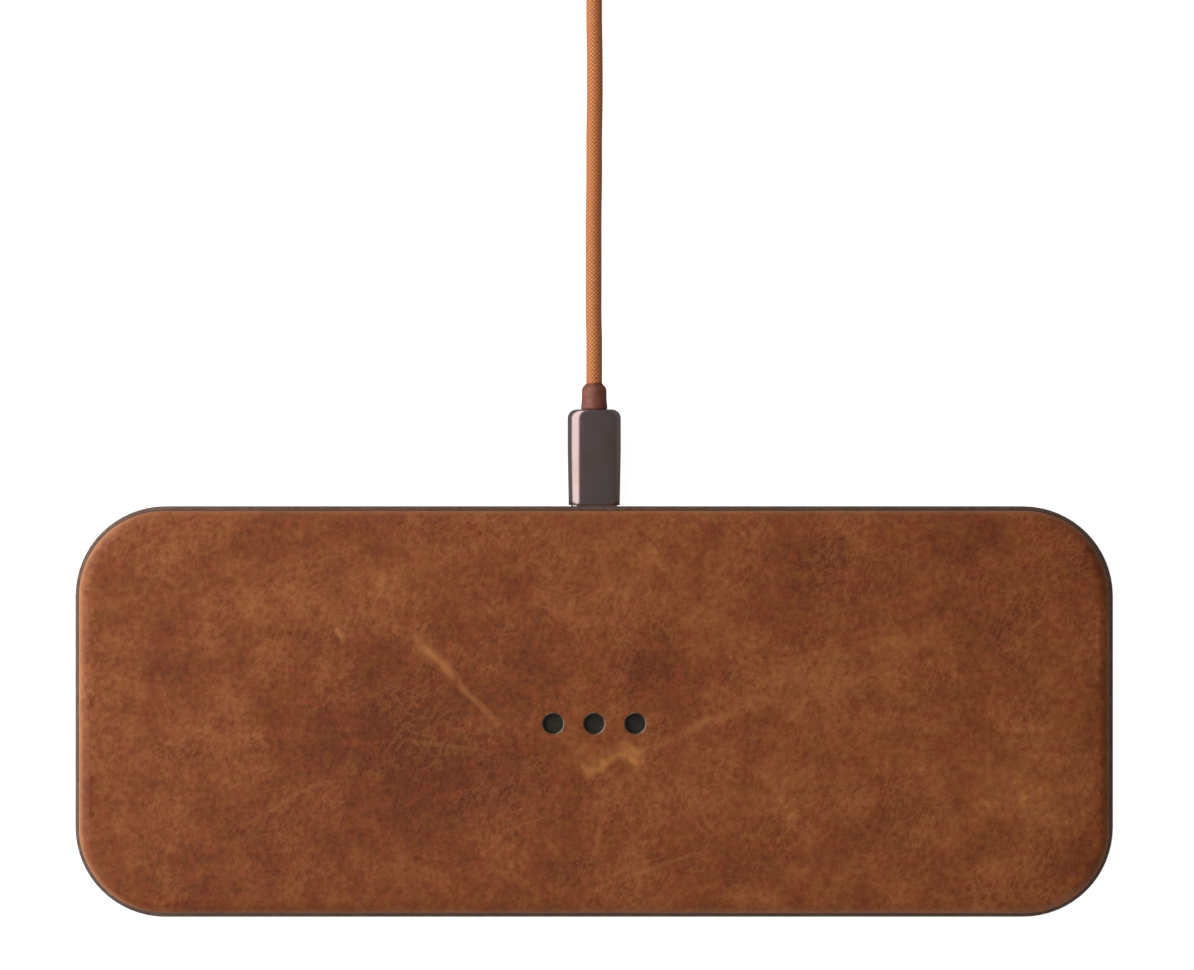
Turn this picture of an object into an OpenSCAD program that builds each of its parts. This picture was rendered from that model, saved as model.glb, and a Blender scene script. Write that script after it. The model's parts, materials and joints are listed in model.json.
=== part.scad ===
// Wireless charging pad for two phones: a leather top on a shallow metal tray, with two flat coils,
// a control board and a braided cable that plugs into a socket in the back wall.
// Frame: X runs along the pad, +Y to the back where the cable leaves, +Z up. The origin is the centre
// of the pad's underside, on the surface that the pad lies on. All sizes are in millimetres.

/* [Pad] */
// Length of the pad, left to right
pad_l = 185; // [172:1:225]
// Width of the pad, front to back
pad_w = 73.2; // [72:0.1:90]
// Height of the pad, up to the leather
pad_h = 11; // [11:0.1:15]
// Radius of the pad's corners seen from above
corner_r = 16; // [12:0.5:22]

/* [Tray] */
// Thickness of the tray's wall
wall_t = 1.8; // [1.6:0.1:2.4]
// Thickness of the tray's floor
floor_t = 1.6; // [1.4:0.1:2]
// Width of the lip that shows round the leather
lip_w = 0.65; // [0.5:0.05:0.9]
// Height of the lip above the ledge that the top rests on
lip_h = 0.6; // [0.4:0.1:1.2]
// Radius of the tray's lower edge
tray_edge_r = 1.2; // [0.6:0.1:1.6]

/* [Base pad] */
// Thickness of the rubber base pad
base_t = 1.4; // [1.2:0.1:1.6]
// How far the base pad stands out under the tray
foot_h = 0.8; // [0.6:0.1:1]
// How far the base pad's edge lies in from the tray's outline
base_inset = 4; // [3:0.5:8]

/* [Top] */
// Thickness of the leather
leather_t = 1.2; // [1:0.1:1.5]
// Radius of the leather's upper edge
leather_edge_r = 2.2; // [1.6:0.1:2.4]
// Thickness of the leather where it is skived and turned in under the plate
hem_t = 0.6; // [0.5:0.1:0.8]
// Width of the turned-in hem
hem_w = 5; // [4:0.5:5]
// Thickness of the foam under the leather
foam_t = 0.6; // [0.4:0.1:0.8]
// Thickness of the top plate
plate_t = 2.2; // [2:0.1:2.6]

/* [Indicator windows] */
// Diameter of each window
window_d = 4.2; // [3:0.1:5]
// Distance from window to window
window_pitch = 7.3; // [6:0.1:8]
// Place of the row of windows, from the middle towards the back
window_y = -2; // [-2.5:0.1:-1.9]

/* [Charging coils] */
// Inner diameter of a coil
coil_id = 20; // [14:0.5:22]
// Turns of wire in a coil
coil_turns = 10; // [6:1:10]
// Diameter of the wire
wire_d = 1.1; // [0.8:0.05:1.15]
// How far the ferrite reaches past the coil
ferrite_margin = 2.4; // [1.5:0.1:2.6]
// Thickness of the ferrite
ferrite_t = 0.8; // [0.6:0.1:1]

/* [Board] */
// Width of the control board
board_w = 30; // [30:0.5:31]
// Space between the board's front edge and the tray's front wall
board_front_gap = 10.8; // [10:0.1:12]
// Thickness of the control board
board_t = 1; // [0.8:0.1:1.2]
// Height of the board above the tray's floor
standoff_h = 0.8; // [0.7:0.1:0.9]

/* [Cable] */
// Diameter of the braided cord
cord_d = 2.8; // [2.4:0.1:3.4]
// Width of a plug's housing
plug_w = 9.5; // [9.4:0.1:12]
// Height of a plug's housing
plug_t = 5.4; // [5:0.1:6.4]
// Length of a plug's housing
plug_l = 17.1; // [16:0.1:22]
// Wall of a plug's housing
plug_wall = 0.6; // [0.5:0.1:0.7]
// Diameter of the strain relief
relief_d = 4.5; // [4.2:0.1:5]
// Length of the strain relief that shows
relief_l = 4.6; // [4:0.1:8]

/* [Hidden] */
$fn = 64;

// Clearances
glue = 0.05; // film of glue between two pieces
slip = 0.1; // between pieces that drop into each other
part_gap = 0.35; // between a boss and its neighbours
cut = 1; // how far a cutting tool runs past a face

// Heights, from the surface that the pad lies on
floor_z = foot_h + floor_t;
recess_z = base_t;
board_z = floor_z + standoff_h;
board_top = board_z + board_t;
foam_z = pad_h - leather_t - foam_t;
plate_z = foam_z - plate_t;
ledge_z = plate_z - hem_t;
lip_z = ledge_z + lip_h;
port_z = board_top + 0.2;

// Outlines
leather_inset = lip_w + slip;
leather_l = pad_l - 2 * leather_inset;
leather_w = pad_w - 2 * leather_inset;
leather_r = corner_r - leather_inset;
plate_inset = leather_t + glue;

// Screws, all of one thread
thread_d = 2;
pilot_d = 1.8; // the thread cuts into a hole this wide
clear_d = 2.4;
head_d = 3.8;
head_t = 0.8;
boss_d = 5; // boss under the plate
foot_boss_d = 6; // boss on the tray's floor
foot_boss_h = 1;
corner_screw_inset = 16; // from the pad's ends and sides to the corner screws
hex_d = 1.8; // across the corners of the six-sided recess in a screw's head
hex_h = 0.4;
boss_root = 0.5; // how far a boss or a screw reaches into what it stands in
standoff_d = 4.2;
board_hole_d = 2.3;

// Charging coils
turn_pitch = wire_d + 0.05;
coil_r0 = coil_id / 2 + wire_d / 2;
coil_re = coil_r0 + coil_turns * turn_pitch;
coil_pocket_r = coil_re + wire_d / 2 + 0.4;
coil_pocket_h = wire_d + 0.15;
coil_z = plate_z + glue + wire_d / 2;
ferrite_w = 2 * coil_re + wire_d + 2 * ferrite_margin;
ferrite_hole_d = 8;
coil_end_gap = 3; // from a corner boss to the ferrite
coil_x = pad_l / 2 - corner_screw_inset - boss_d / 2 - coil_end_gap - ferrite_w / 2;
lead_bend = 1.2;
lead_dive = 0.65; // bend where the inner lead dives under the turns
lead_x = board_w / 2 - 2.4; // where the leads reach the board

// Screw places
mid_screw_x = board_w / 2 + foot_boss_d / 2 + 1;
mid_screw_y = leather_w / 2 - hem_w - boss_d / 2 - part_gap;
case_screw_places = concat(
    both([pad_l / 2 - corner_screw_inset, pad_w / 2 - corner_screw_inset]),
    both([mid_screw_x, mid_screw_y])
);

// Control board, which ends a little short of the tray's back wall
board_gap = 1;
board_back = pad_w / 2 - wall_t - board_gap;
board_front = board_front_gap + wall_t - pad_w / 2;
board_hole_inset = 3; // from the board's front and sides to its screws
board_hole_back = 8.8; // and from its back edge, clear of the socket's tabs
board_hole_x = board_w / 2 - board_hole_inset;
board_hole_ys = [board_front + board_hole_inset, board_back - board_hole_back];

// Parts on the board, which keep their places round the lamps under the windows
chip_t = 0.9;
controller_y = 8;
driver_x = 7;
driver_y = -9;
capacitor_pitch = 2.6;

// Socket and plug, whose sizes are those of the standard
socket_w = 8.94;
socket_h = 3.16;
socket_wall = 0.3;
socket_l = 7.9;
socket_back_t = 1.2;
socket_mouth = pad_w / 2 - 0.2;
socket_back = socket_mouth - socket_l;
tongue_w = 6.69;
tongue_t = 0.6;
tongue_short = 0.9; // from the mouth to the tongue's tip
contact_pitch = 0.5;
contact_count = 12;
contact_w = 0.26;
pad_contact_t = 0.05;
shell_w = 8.25;
shell_h = 2.4;
shell_wall = 0.2;
shell_l = 6.65;
shell_root = 4; // how far the shell goes into the housing
insert_slot_w = 6.9;
insert_slot_h = 1;
insert_slot_l = 5.9;
insert_root = 1.5;
spring_t = 0.1;
spring_l = 4;
plug_gap = 0.2;
plug_y = pad_w / 2 + plug_gap;
plug_corner_r = plug_t / 2 - 0.2; // along the housing's long edges
plug_end_r = 1.6; // at its back corners, seen from above
plug_end_wall = 0.8;
plug_board_l = 8;
plug_board_w = 6.6;
plug_board_t = 0.8;
relief_root = 1.8;
relief_tip_d = 3.2;
relief_shoulder = 1; // radius of the shoulder near the tip

// Cord. Each route point is [across, along from the exit, share of the exit's height that is left]:
// a share of 0 is a cord that lies on the surface.
cord_sides = 8;
exit_y = plug_y + plug_l + relief_l;
lie_z = cord_d / 2;
cord_route = [
    [0, 0, 1], [0, 4, 1], [0, 8, 0.9], [-0.1, 12, 0.65], [-0.1, 16, 0.35], [-0.1, 20, 0.1],
    [-0.1, 24, 0], [-0.1, 30, 0], [0, 37, 0], [0, 44, 0], [0.1, 51, 0], [0.1, 58, 0],
    [0, 65, 0], [0, 72, 0], [0, 79, 0], [0, 86, 0], [0, 93, 0], [0, 100, 0]
];

// Coil that the rest of the cord is wound into. The cord joins its outermost turn from the pad's side.
wound_columns = 5;
wound_layers = 4;
wound_r_in = 10; // radius of the innermost turn's middle
wound_r_out = wound_r_in + (wound_columns - 1) * cord_d;
wound_x = wound_r_out;
wound_y = exit_y + 100;
wound_h = wound_layers * cord_d;
wound_exit = 60; // place on the coil where the tail leaves, in degrees from +X
tail_z = wound_h - cord_d / 2;
tail_x = wound_x + wound_r_out * cos(wound_exit);
tail_y = wound_y + wound_r_out * sin(wound_exit);
tail_heading = wound_exit - 90;

// Tail, as [across, along from the coil, share of the height that is left], down to the far plug
tail_route = [
    [0, 0, 1], [0, 4, 1], [0, 9, 0.88], [0, 14, 0.65], [0, 19, 0.36], [0, 24, 0.12],
    [0, 29, 0], [0, 34, 0]
];
tail_l = 34;
tie_w = 12;
tie_t = 1;
tie_under = 0.7; // the tie is pressed thinner where the coil rests on it
tie_place = -45; // in degrees from +X
tie_button_d = 6;
tie_button_t = 1.2;

// The four corners of a rectangle whose first one is at [x, y]
function both(p) = [for (sx = [-1, 1], sy = [-1, 1]) [sx * p.x, sy * p.y]];

// A quarter of a disc, between +X and +Y
module quarter_disc(r) {
    intersection() {
        circle(r);
        square(r);
    }
}

// Rectangle with round corners, centred
module round_rect(l, w, r) {
    square([l - 2 * r, w], center = true);
    square([l, w - 2 * r], center = true);
    for (q = [0:3])
        let (a = q % 2 == 0 ? l : w, b = q % 2 == 0 ? w : l)
            rotate(90 * q)
                translate([a / 2 - r, b / 2 - r])
                    quarter_disc(r);
}

// Slot shape with full round ends, centred
module stadium(w, h) {
    square([w - h, h], center = true);
    for (a = [0, 180])
        rotate(a)
            translate([w / 2 - h / 2, 0])
                for (b = [0, -90])
                    rotate(b)
                        quarter_disc(h / 2);
}

// Upright slab with round corners, from z = low to z = high
module slab(l, w, r, low, high) {
    translate([0, 0, low])
        linear_extrude(high - low)
            round_rect(l, w, r);
}

// Upright round post
module post(x, y, d, low, high) {
    translate([x, y, low])
        cylinder(d = d, h = high - low);
}

// Box given by its middle in X and Y, and by its two heights
module block(x, y, l, w, low, high) {
    translate([x - l / 2, y - w / 2, low])
        cube([l, w, high - low]);
}

// Sweeps a flat profile round a rounded rectangle. A profile point is [distance in from the outline,
// height], and the profile reaches in as far as r, the middle of the corners.
module edge_sweep(l, w, r, profile) {
    for (q = [0:3])
        let (a = q % 2 == 0 ? l : w, b = q % 2 == 0 ? w : l)
            rotate(90 * q)
                translate([a / 2 - r, b / 2 - r, 0]) {
                    rotate_extrude(angle = 90)
                        polygon([for (p = profile) [r - p.x, p.y]]);
                    rotate([90, 0, 0])
                        linear_extrude(b - 2 * r)
                            polygon([for (p = profile) [r - p.x, p.y]]);
                }
}

// Points of an arc about [x, y], from angle a to angle b
function arc(x, y, r, a, b, steps = 8) =
    [for (i = [0:steps]) [x + r * cos(a + (b - a) * i / steps), y + r * sin(a + (b - a) * i / steps)]];

// The row of three windows
module window_row(d, low, high) {
    for (i = [-1:1])
        post(i * window_pitch, window_y, d, low, high);
}

// Extrudes a flat shape of width and height along +Y, from y = start
module along_y(start, length) {
    translate([0, start + length, 0])
        rotate([90, 0, 0])
            linear_extrude(length)
                children();
}

// ---- Top ----

// Leather over the plate: a skin with round edges, turned in underneath
module leather_cover() color("sienna") {
    inner_r = max(leather_edge_r - leather_t, 0.2);
    top = pad_h;
    difference() {
        union() {
            edge_sweep(leather_l, leather_w, leather_r, concat(
                [[0, ledge_z]],
                arc(leather_edge_r, top - leather_edge_r, leather_edge_r, 180, 90),
                [[leather_r, top], [leather_r, top - leather_t]],
                arc(leather_t + inner_r, top - leather_t - inner_r, inner_r, 90, 180),
                [[leather_t, plate_z], [hem_w, plate_z], [hem_w, ledge_z]]
            ));
            block(0, 0, leather_l - 2 * leather_r, leather_w - 2 * leather_r, top - leather_t, top);
        }
        window_row(window_d, ledge_z, top + cut);
    }
}

// Thin foam that softens the top
module foam_underlay() color("dimgray") {
    foam_inset = leather_edge_r + slip;
    difference() {
        slab(leather_l - 2 * foam_inset, leather_w - 2 * foam_inset, leather_r - foam_inset,
             foam_z, foam_z + foam_t);
        window_row(window_d + slip, foam_z - cut, foam_z + foam_t + cut);
    }
}

// Moulded plate that carries the leather on top and the coils underneath
module top_plate() color("darkslategray") {
    l = leather_l - 2 * plate_inset;
    w = leather_w - 2 * plate_inset;
    r = leather_r - plate_inset;
    edge = 0.5; // chamfer under the leather's round edge
    difference() {
        union() {
            edge_sweep(l, w, r, [
                [0, plate_z], [0, foam_z - edge], [edge, foam_z], [r, foam_z], [r, plate_z]
            ]);
            block(0, 0, l - 2 * r, w - 2 * r, plate_z, foam_z);
            for (p = case_screw_places)
                post(p.x, p.y, boss_d, floor_z + foot_boss_h, plate_z + edge);
        }
        window_row(window_d + slip, plate_z - cut, foam_z + cut);
        for (sx = [-1, 1])
            post(sx * coil_x, 0, 2 * coil_pocket_r, plate_z - cut, plate_z + coil_pocket_h);
        // channel for the coils' outer leads
        block(0, lead_bend, 2 * coil_x, wire_d + 0.5, plate_z - cut, plate_z + coil_pocket_h);
        for (p = case_screw_places)
            post(p.x, p.y, pilot_d, floor_z, plate_z + boss_root + part_gap);
    }
}

// Smoked light guide with one post for each window
module light_guide() color("darkolivegreen") {
    bar_t = 1;
    sunk = 0.1; // the posts end this far under the leather
    window_row(window_d - slip, plate_z - bar_t, pad_h - leather_t - sunk);
    translate([0, window_y, plate_z - bar_t])
        linear_extrude(bar_t)
            stadium(2 * window_pitch + window_d + 1, window_d + 1);
}

// ---- Coils ----

// A quarter of a ring of wire, from +X to +Y
module elbow(r) {
    rotate_extrude(angle = 90)
        translate([r, 0])
            circle(d = wire_d);
}

// Straight wire towards -X
module wire_run(from, x_end) {
    translate(from)
        rotate([0, -90, 0])
            cylinder(d = wire_d, h = from.x - x_end);
}

// Bend from -X to straight down, and on down to the board
module wire_drop(x, y, z) {
    translate([x + lead_bend, y, z - lead_bend])
        rotate([90, 0, 0])
            rotate(90)
                elbow(lead_bend);
    post(x, y, wire_d, board_top, z - lead_bend);
}

// Flat spiral of half rings about two centres, with both leads on the board's side
module charging_coil() {
    land = lead_x - coil_x;
    for (k = [0:2 * coil_turns - 1])
        translate([k % 2 == 0 ? 0 : -turn_pitch / 2, 0, coil_z])
            rotate(180 * (k % 2))
                rotate_extrude(angle = 180)
                    translate([coil_r0 + k * turn_pitch / 2, 0])
                        circle(d = wire_d);
    // outer lead
    translate([-coil_re - lead_bend, 0, coil_z])
        elbow(lead_bend);
    wire_run([-coil_re - lead_bend, lead_bend, coil_z], land + lead_bend);
    wire_drop(land, lead_bend, coil_z);
    // inner lead, which dives and passes under the turns
    translate([-coil_r0, 0, coil_z - lead_dive])
        rotate([90, 0, 90])
            rotate(90)
                elbow(lead_dive);
    translate([-coil_r0 - lead_dive, -lead_dive, coil_z - lead_dive])
        rotate([90, 0, 0])
            rotate(270)
                elbow(lead_dive);
    wire_run([-coil_r0 - lead_dive, -lead_dive, coil_z - 2 * lead_dive], land + lead_bend);
    wire_drop(land, -lead_dive, coil_z - 2 * lead_dive);
}

module coil_right() color("peru")
    translate([coil_x, 0, 0])
        charging_coil();

module coil_left() color("peru")
    mirror([1, 0, 0])
        translate([coil_x, 0, 0])
            charging_coil();

// Ferrite tile behind a coil, slotted for the inner lead
module ferrite_tile() {
    slot_w = wire_d + 0.4;
    slot_end = coil_r0 - 1;
    difference() {
        slab(ferrite_w, ferrite_w, 1, plate_z - ferrite_t, plate_z);
        post(0, 0, ferrite_hole_d, plate_z - ferrite_t - cut, plate_z + cut);
        block(-(ferrite_w / 2 + cut + slot_end) / 2, -lead_dive, ferrite_w / 2 + cut - slot_end, slot_w,
              plate_z - ferrite_t - cut, plate_z + cut);
    }
}

module ferrite_right() color("dimgray")
    translate([coil_x, 0, 0])
        ferrite_tile();

module ferrite_left() color("dimgray")
    mirror([1, 0, 0])
        translate([coil_x, 0, 0])
            ferrite_tile();

// Bead in the middle of a coil, on a flat strip that runs under the ferrite to the board
module temperature_sensor() {
    strip_w = 1.8;
    strip_t = 0.3;
    bead_d = 2;
    y = lead_bend + wire_d / 2 + strip_w / 2 + 0.15;
    strip_top = plate_z - ferrite_t - slip;
    foot_x = lead_x - coil_x;
    block((foot_x + bead_d / 2) / 2, y, bead_d / 2 - foot_x, strip_w, strip_top - strip_t, strip_top);
    block(foot_x, y, strip_t, strip_w, board_top, strip_top);
    post(0, y, bead_d, strip_top - strip_t / 2, plate_z + coil_pocket_h - slip);
}

module temperature_sensor_right() color("goldenrod")
    translate([coil_x, 0, 0])
        temperature_sensor();

module temperature_sensor_left() color("goldenrod")
    mirror([1, 0, 0])
        translate([coil_x, 0, 0])
            temperature_sensor();

// ---- Board ----

// Control board, cut out at the back for the socket that sits in it
module main_board() color("darkgreen") {
    cut_w = socket_w + 0.5;
    cut_l = board_back - socket_back + 0.3;
    translate([0, 0, board_z])
        linear_extrude(board_t)
            difference() {
                translate([-board_w / 2, board_front])
                    square([board_w, board_back - board_front]);
                translate([-cut_w / 2, board_back - cut_l])
                    square([cut_w, cut_l + cut]);
                for (sx = [-1, 1], y = board_hole_ys)
                    translate([sx * board_hole_x, y])
                        circle(d = board_hole_d);
            }
}

// Equal parts on the board in a row at y, from x = first outwards on both sides
module chip_row(count, first, pitch, y, size) {
    for (sx = [-1, 1], i = [0:count - 1])
        block(sx * (first + pitch * i), y, size.x, size.y, board_top, board_top + size.z);
}

module status_leds() color("whitesmoke") {
    led = [1.6, 0.8, 0.4];
    lens_d = 0.7;
    lens_h = 0.2;
    for (i = [-1:1]) {
        block(i * window_pitch, window_y, led.x, led.y, board_top, board_top + led.z);
        post(i * window_pitch, window_y, lens_d, board_top + led.z, board_top + led.z + lens_h);
    }
}

module controller_chip() color("black")
    block(0, controller_y, 6, 6, board_top, board_top + chip_t);

module driver_chips() color("black")
    chip_row(1, driver_x, 0, driver_y, [5, 5, chip_t]);

module power_inductors() color("gray")
    chip_row(1, 8.5, 0, controller_y + 1, [4.4, 4.4, 1.6]);

// Two rows in front of the drivers
module resonant_capacitors() color("tan") {
    for (row = [1:2])
        chip_row(2, 4, capacitor_pitch, driver_y - 3 - 4 * row, [1.6, 3.2, 1.4]);
}

module filter_capacitors() color("tan")
    chip_row(3, 3, capacitor_pitch, controller_y + 8, [1.6, 3.2, 1.2]);

module small_resistors() color("dimgray")
    chip_row(6, 2, 1.6, controller_y + 12.5, [0.8, 1.6, 0.45]);

// Soft pads under the chips, which carry heat from the board down to the tray
module thermal_pads() color("lightsteelblue") {
    for (sx = [-1, 1])
        block(sx * driver_x, driver_y, 8, 8, floor_z, board_z);
    block(0, controller_y + 1, 12, 8, floor_z, board_z);
}

module board_screws() color("silver") {
    for (sx = [-1, 1], y = board_hole_ys)
        difference() {
            union() {
                post(sx * board_hole_x, y, head_d, board_top, board_top + head_t);
                post(sx * board_hole_x, y, thread_d, floor_z - boss_root, board_top + head_t / 2);
            }
            translate([sx * board_hole_x, y, board_top + head_t - hex_h])
                cylinder(d = hex_d, h = hex_h + cut, $fn = 6);
        }
}

// Folded metal shell of the socket, with the tabs that hold it on the board
module socket_shell() color("silver") {
    tab_l = 1.6;
    tab_t = 0.3;
    tab_w = 1.2;
    translate([0, 0, port_z])
        along_y(socket_back, socket_l)
            difference() {
                stadium(socket_w, socket_h);
                stadium(socket_w - 2 * socket_wall, socket_h - 2 * socket_wall);
            }
    for (sx = [-1, 1], y = [socket_back + 1.4, board_back - 1.2])
        block(sx * (socket_w / 2 + tab_l / 2 - 0.15), y, tab_l, tab_w, board_top, board_top + tab_t);
}

// Moulded tongue on a block that closes the back of the shell
module socket_tongue() color("black") {
    translate([0, 0, port_z]) {
        along_y(socket_back, socket_back_t)
            stadium(socket_w - 2 * socket_wall - glue, socket_h - 2 * socket_wall - glue);
        along_y(socket_back + socket_back_t, socket_l - socket_back_t - tongue_short)
            square([tongue_w, tongue_t], center = true);
    }
}

// Two rows of contacts, side by side at one pitch
module contact_rows(start, length, low, thickness) {
    for (side = [-1, 1], i = [0:contact_count - 1])
        translate([(i - (contact_count - 1) / 2) * contact_pitch, 0, side * (low + thickness / 2)])
            translate([-contact_w / 2, start, -thickness / 2])
                cube([contact_w, length, thickness]);
}

module socket_contacts() color("gold")
    translate([0, 0, port_z])
        contact_rows(socket_back + socket_back_t + 0.4, 4.8, tongue_t / 2, pad_contact_t);

// ---- Tray and base ----

// Shallow metal tray. A lip shows round the leather, and the top rests on the ledge inside it.
module base_tray() color("saddlebrown") {
    lip_edge = 0.15; // chamfer on the lip
    difference() {
        union() {
            edge_sweep(pad_l, pad_w, corner_r, concat(
                arc(tray_edge_r, foot_h + tray_edge_r, tray_edge_r, 270, 180),
                [[0, lip_z - lip_edge], [lip_edge, lip_z], [lip_w, lip_z], [lip_w, ledge_z],
                 [wall_t, ledge_z], [wall_t, floor_z], [corner_r, floor_z], [corner_r, recess_z],
                 [base_inset, recess_z], [base_inset, foot_h]]
            ));
            block(0, 0, pad_l - 2 * corner_r, pad_w - 2 * corner_r, recess_z, floor_z);
            for (p = case_screw_places)
                post(p.x, p.y, foot_boss_d, floor_z - boss_root, floor_z + foot_boss_h);
            for (sx = [-1, 1], y = board_hole_ys)
                post(sx * board_hole_x, y, standoff_d, floor_z - boss_root, board_z);
        }
        // way through the back wall for the socket
        translate([0, 0, port_z])
            along_y(pad_w / 2 - wall_t - cut, wall_t + 2 * cut)
                stadium(socket_w + 2 * slip, socket_h + 2 * slip);
        for (p = case_screw_places) {
            post(p.x, p.y, clear_d, recess_z - cut, floor_z + foot_boss_h + cut);
            post(p.x, p.y, head_d + 2 * slip, recess_z - cut, recess_z + head_t + slip);
        }
        for (sx = [-1, 1], y = board_hole_ys)
            post(sx * board_hole_x, y, pilot_d, floor_z - boss_root - slip, board_z + cut);
    }
}

// Screws that pull the top down onto the tray, under the base pad
module case_screws() color("silver") {
    for (p = case_screw_places)
        difference() {
            union() {
                post(p.x, p.y, head_d, recess_z + slip, recess_z + head_t + slip);
                post(p.x, p.y, thread_d, recess_z + head_t / 2, plate_z + boss_root);
            }
            translate([p.x, p.y, recess_z + slip - cut])
                cylinder(d = hex_d, h = hex_h + cut, $fn = 6);
        }
}

// Rubber pad that the whole thing stands on
module base_pad() color("black") {
    inset = base_inset + slip;
    slab(pad_l - 2 * inset, pad_w - 2 * inset, corner_r - inset, 0, recess_z);
}

// ---- Plug: its housing's front face is at y = 0, the shell points to -Y and the cord leaves at +Y ----

module a_plug_shell()
    along_y(-shell_l, shell_l + shell_root)
        difference() {
            stadium(shell_w, shell_h);
            stadium(shell_w - 2 * shell_wall, shell_h - 2 * shell_wall);
        }

module a_plug_insert() {
    short = 0.2; // the insert ends this far inside the shell's mouth
    difference() {
        along_y(short - shell_l, shell_l - short + insert_root)
            stadium(shell_w - 2 * shell_wall - glue, shell_h - 2 * shell_wall - glue);
        translate([-insert_slot_w / 2, -shell_l - cut, -insert_slot_h / 2])
            cube([insert_slot_w, insert_slot_l + cut, insert_slot_h]);
    }
}

module a_plug_contacts()
    contact_rows(0.9 - shell_l, spring_l, insert_slot_h / 2 - spring_t, spring_t);

module a_plug_board()
    translate([-plug_board_w / 2, insert_root, -plug_board_t / 2])
        cube([plug_board_w, plug_board_l, plug_board_t]);

// Moulding that fills the housing round the shell's root and the little board
module a_plug_core() {
    w = plug_w - 2 * plug_wall - glue;
    t = plug_t - 2 * plug_wall - glue;
    difference() {
        along_y(slip, plug_l - plug_end_wall - slip - glue)
            round_rect(w, t, plug_corner_r - plug_wall);
        along_y(-cut, cut + shell_root)
            stadium(shell_w, shell_h);
        translate([-plug_board_w / 2, 0, -plug_board_t / 2])
            cube([plug_board_w, insert_root + plug_board_l, plug_board_t]);
        along_y(plug_l - relief_root, relief_root)
            circle(d = relief_d);
    }
}

// Metal housing with rounded edges and rounded back corners
module a_plug_housing()
    difference() {
        intersection() {
            along_y(0, plug_l)
                round_rect(plug_w, plug_t, plug_corner_r);
            translate([0, 0, -plug_t])
                linear_extrude(2 * plug_t) {
                    translate([-plug_w / 2, 0])
                        square([plug_w, plug_l - plug_end_r]);
                    translate([plug_end_r - plug_w / 2, 0])
                        square([plug_w - 2 * plug_end_r, plug_l]);
                    for (a = [0, 90])
                        translate([(a == 0 ? 1 : -1) * (plug_w / 2 - plug_end_r), plug_l - plug_end_r])
                            rotate(a)
                                quarter_disc(plug_end_r);
                }
        }
        along_y(-cut, cut + plug_l - plug_end_wall)
            round_rect(plug_w - 2 * plug_wall, plug_t - 2 * plug_wall, plug_corner_r - plug_wall);
        along_y(plug_l - relief_root - slip, relief_root + slip + cut)
            circle(d = relief_d + slip);
    }

// Strain relief moulded on the cord, with a shoulder at its tip
module a_strain_relief()
    translate([0, plug_l, 0])
        rotate([-90, 0, 0])
            rotate_extrude()
                polygon(concat(
                    [[0, -relief_root], [relief_d / 2, -relief_root]],
                    arc(relief_d / 2 - relief_shoulder, relief_l - relief_shoulder, relief_shoulder, 0, 60),
                    [[relief_tip_d / 2, relief_l], [0, relief_l]]
                ));

// In the pad's socket
module at_pad()
    translate([0, plug_y, port_z])
        children();

// On the surface, at the end of the tail
module at_far_end()
    translate([tail_x + tail_l * cos(tail_heading), tail_y + tail_l * sin(tail_heading), plug_t / 2])
        rotate(tail_heading + 90)
            translate([0, -plug_l - relief_l, 0])
                children();

module plug_shell() color("silver") at_pad() a_plug_shell();
module plug_insert() color("black") at_pad() a_plug_insert();
module plug_contacts() color("gold") at_pad() a_plug_contacts();
module plug_board() color("darkgreen") at_pad() a_plug_board();
module plug_core() color("black") at_pad() a_plug_core();
module plug_housing() color("dimgray") at_pad() a_plug_housing();
module strain_relief() color("brown") at_pad() a_strain_relief();

module far_plug_shell() color("silver") at_far_end() a_plug_shell();
module far_plug_insert() color("black") at_far_end() a_plug_insert();
module far_plug_contacts() color("gold") at_far_end() a_plug_contacts();
module far_plug_board() color("darkgreen") at_far_end() a_plug_board();
module far_plug_core() color("black") at_far_end() a_plug_core();
module far_plug_housing() color("dimgray") at_far_end() a_plug_housing();
module far_strain_relief() color("brown") at_far_end() a_strain_relief();

// ---- Cord ----

function unit(v) = v / norm(v);

// Direction of a path at point i
function heading(path, i) =
    unit(path[min(i + 1, len(path) - 1)] - path[max(i - 1, 0)]);

// Ring of points round point i of a path, square to its direction
function ring(path, i) =
    let (t = heading(path, i), side = unit(cross(t, [0, 0, 1])), up = cross(side, t))
        [for (k = [0:cord_sides - 1])
            let (a = 360 * (k + 0.5) / cord_sides)
                path[i] + cord_d / 2 * (cos(a) * side + sin(a) * up)];

// Tube swept along a path
module tube(path) {
    rings = len(path);
    polyhedron(
        points = [for (i = [0:rings - 1], p = ring(path, i)) p],
        faces = concat(
            [[for (k = [0:cord_sides - 1]) k]],
            [for (i = [0:rings - 2], k = [0:cord_sides - 1])
                let (n = (k + 1) % cord_sides, low = i * cord_sides, high = low + cord_sides)
                    [low + k, high + k, high + n, low + n]],
            [[for (k = [cord_sides - 1:-1:0]) (rings - 1) * cord_sides + k]]
        )
    );
}

// From the strain relief, down to the surface and along it to the coil
module cord() color("chocolate")
    tube([for (p = cord_route) [p.x, exit_y + p.y, lie_z + p.z * (port_z - lie_z)]]);

// The space that the wound part of the cord fills
module cord_coil() color("chocolate")
    translate([wound_x, wound_y, 0])
        rotate_extrude()
            translate([(wound_r_in + wound_r_out) / 2, wound_h / 2])
                round_rect(wound_columns * cord_d, wound_h, cord_d / 2);

// From the top of the coil down to the far plug
module cord_tail() color("chocolate")
    translate([tail_x, tail_y, 0])
        rotate(tail_heading)
            tube([for (p = tail_route) [p.y, p.x, plug_t / 2 + p.z * (tail_z - plug_t / 2)]]);

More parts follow.
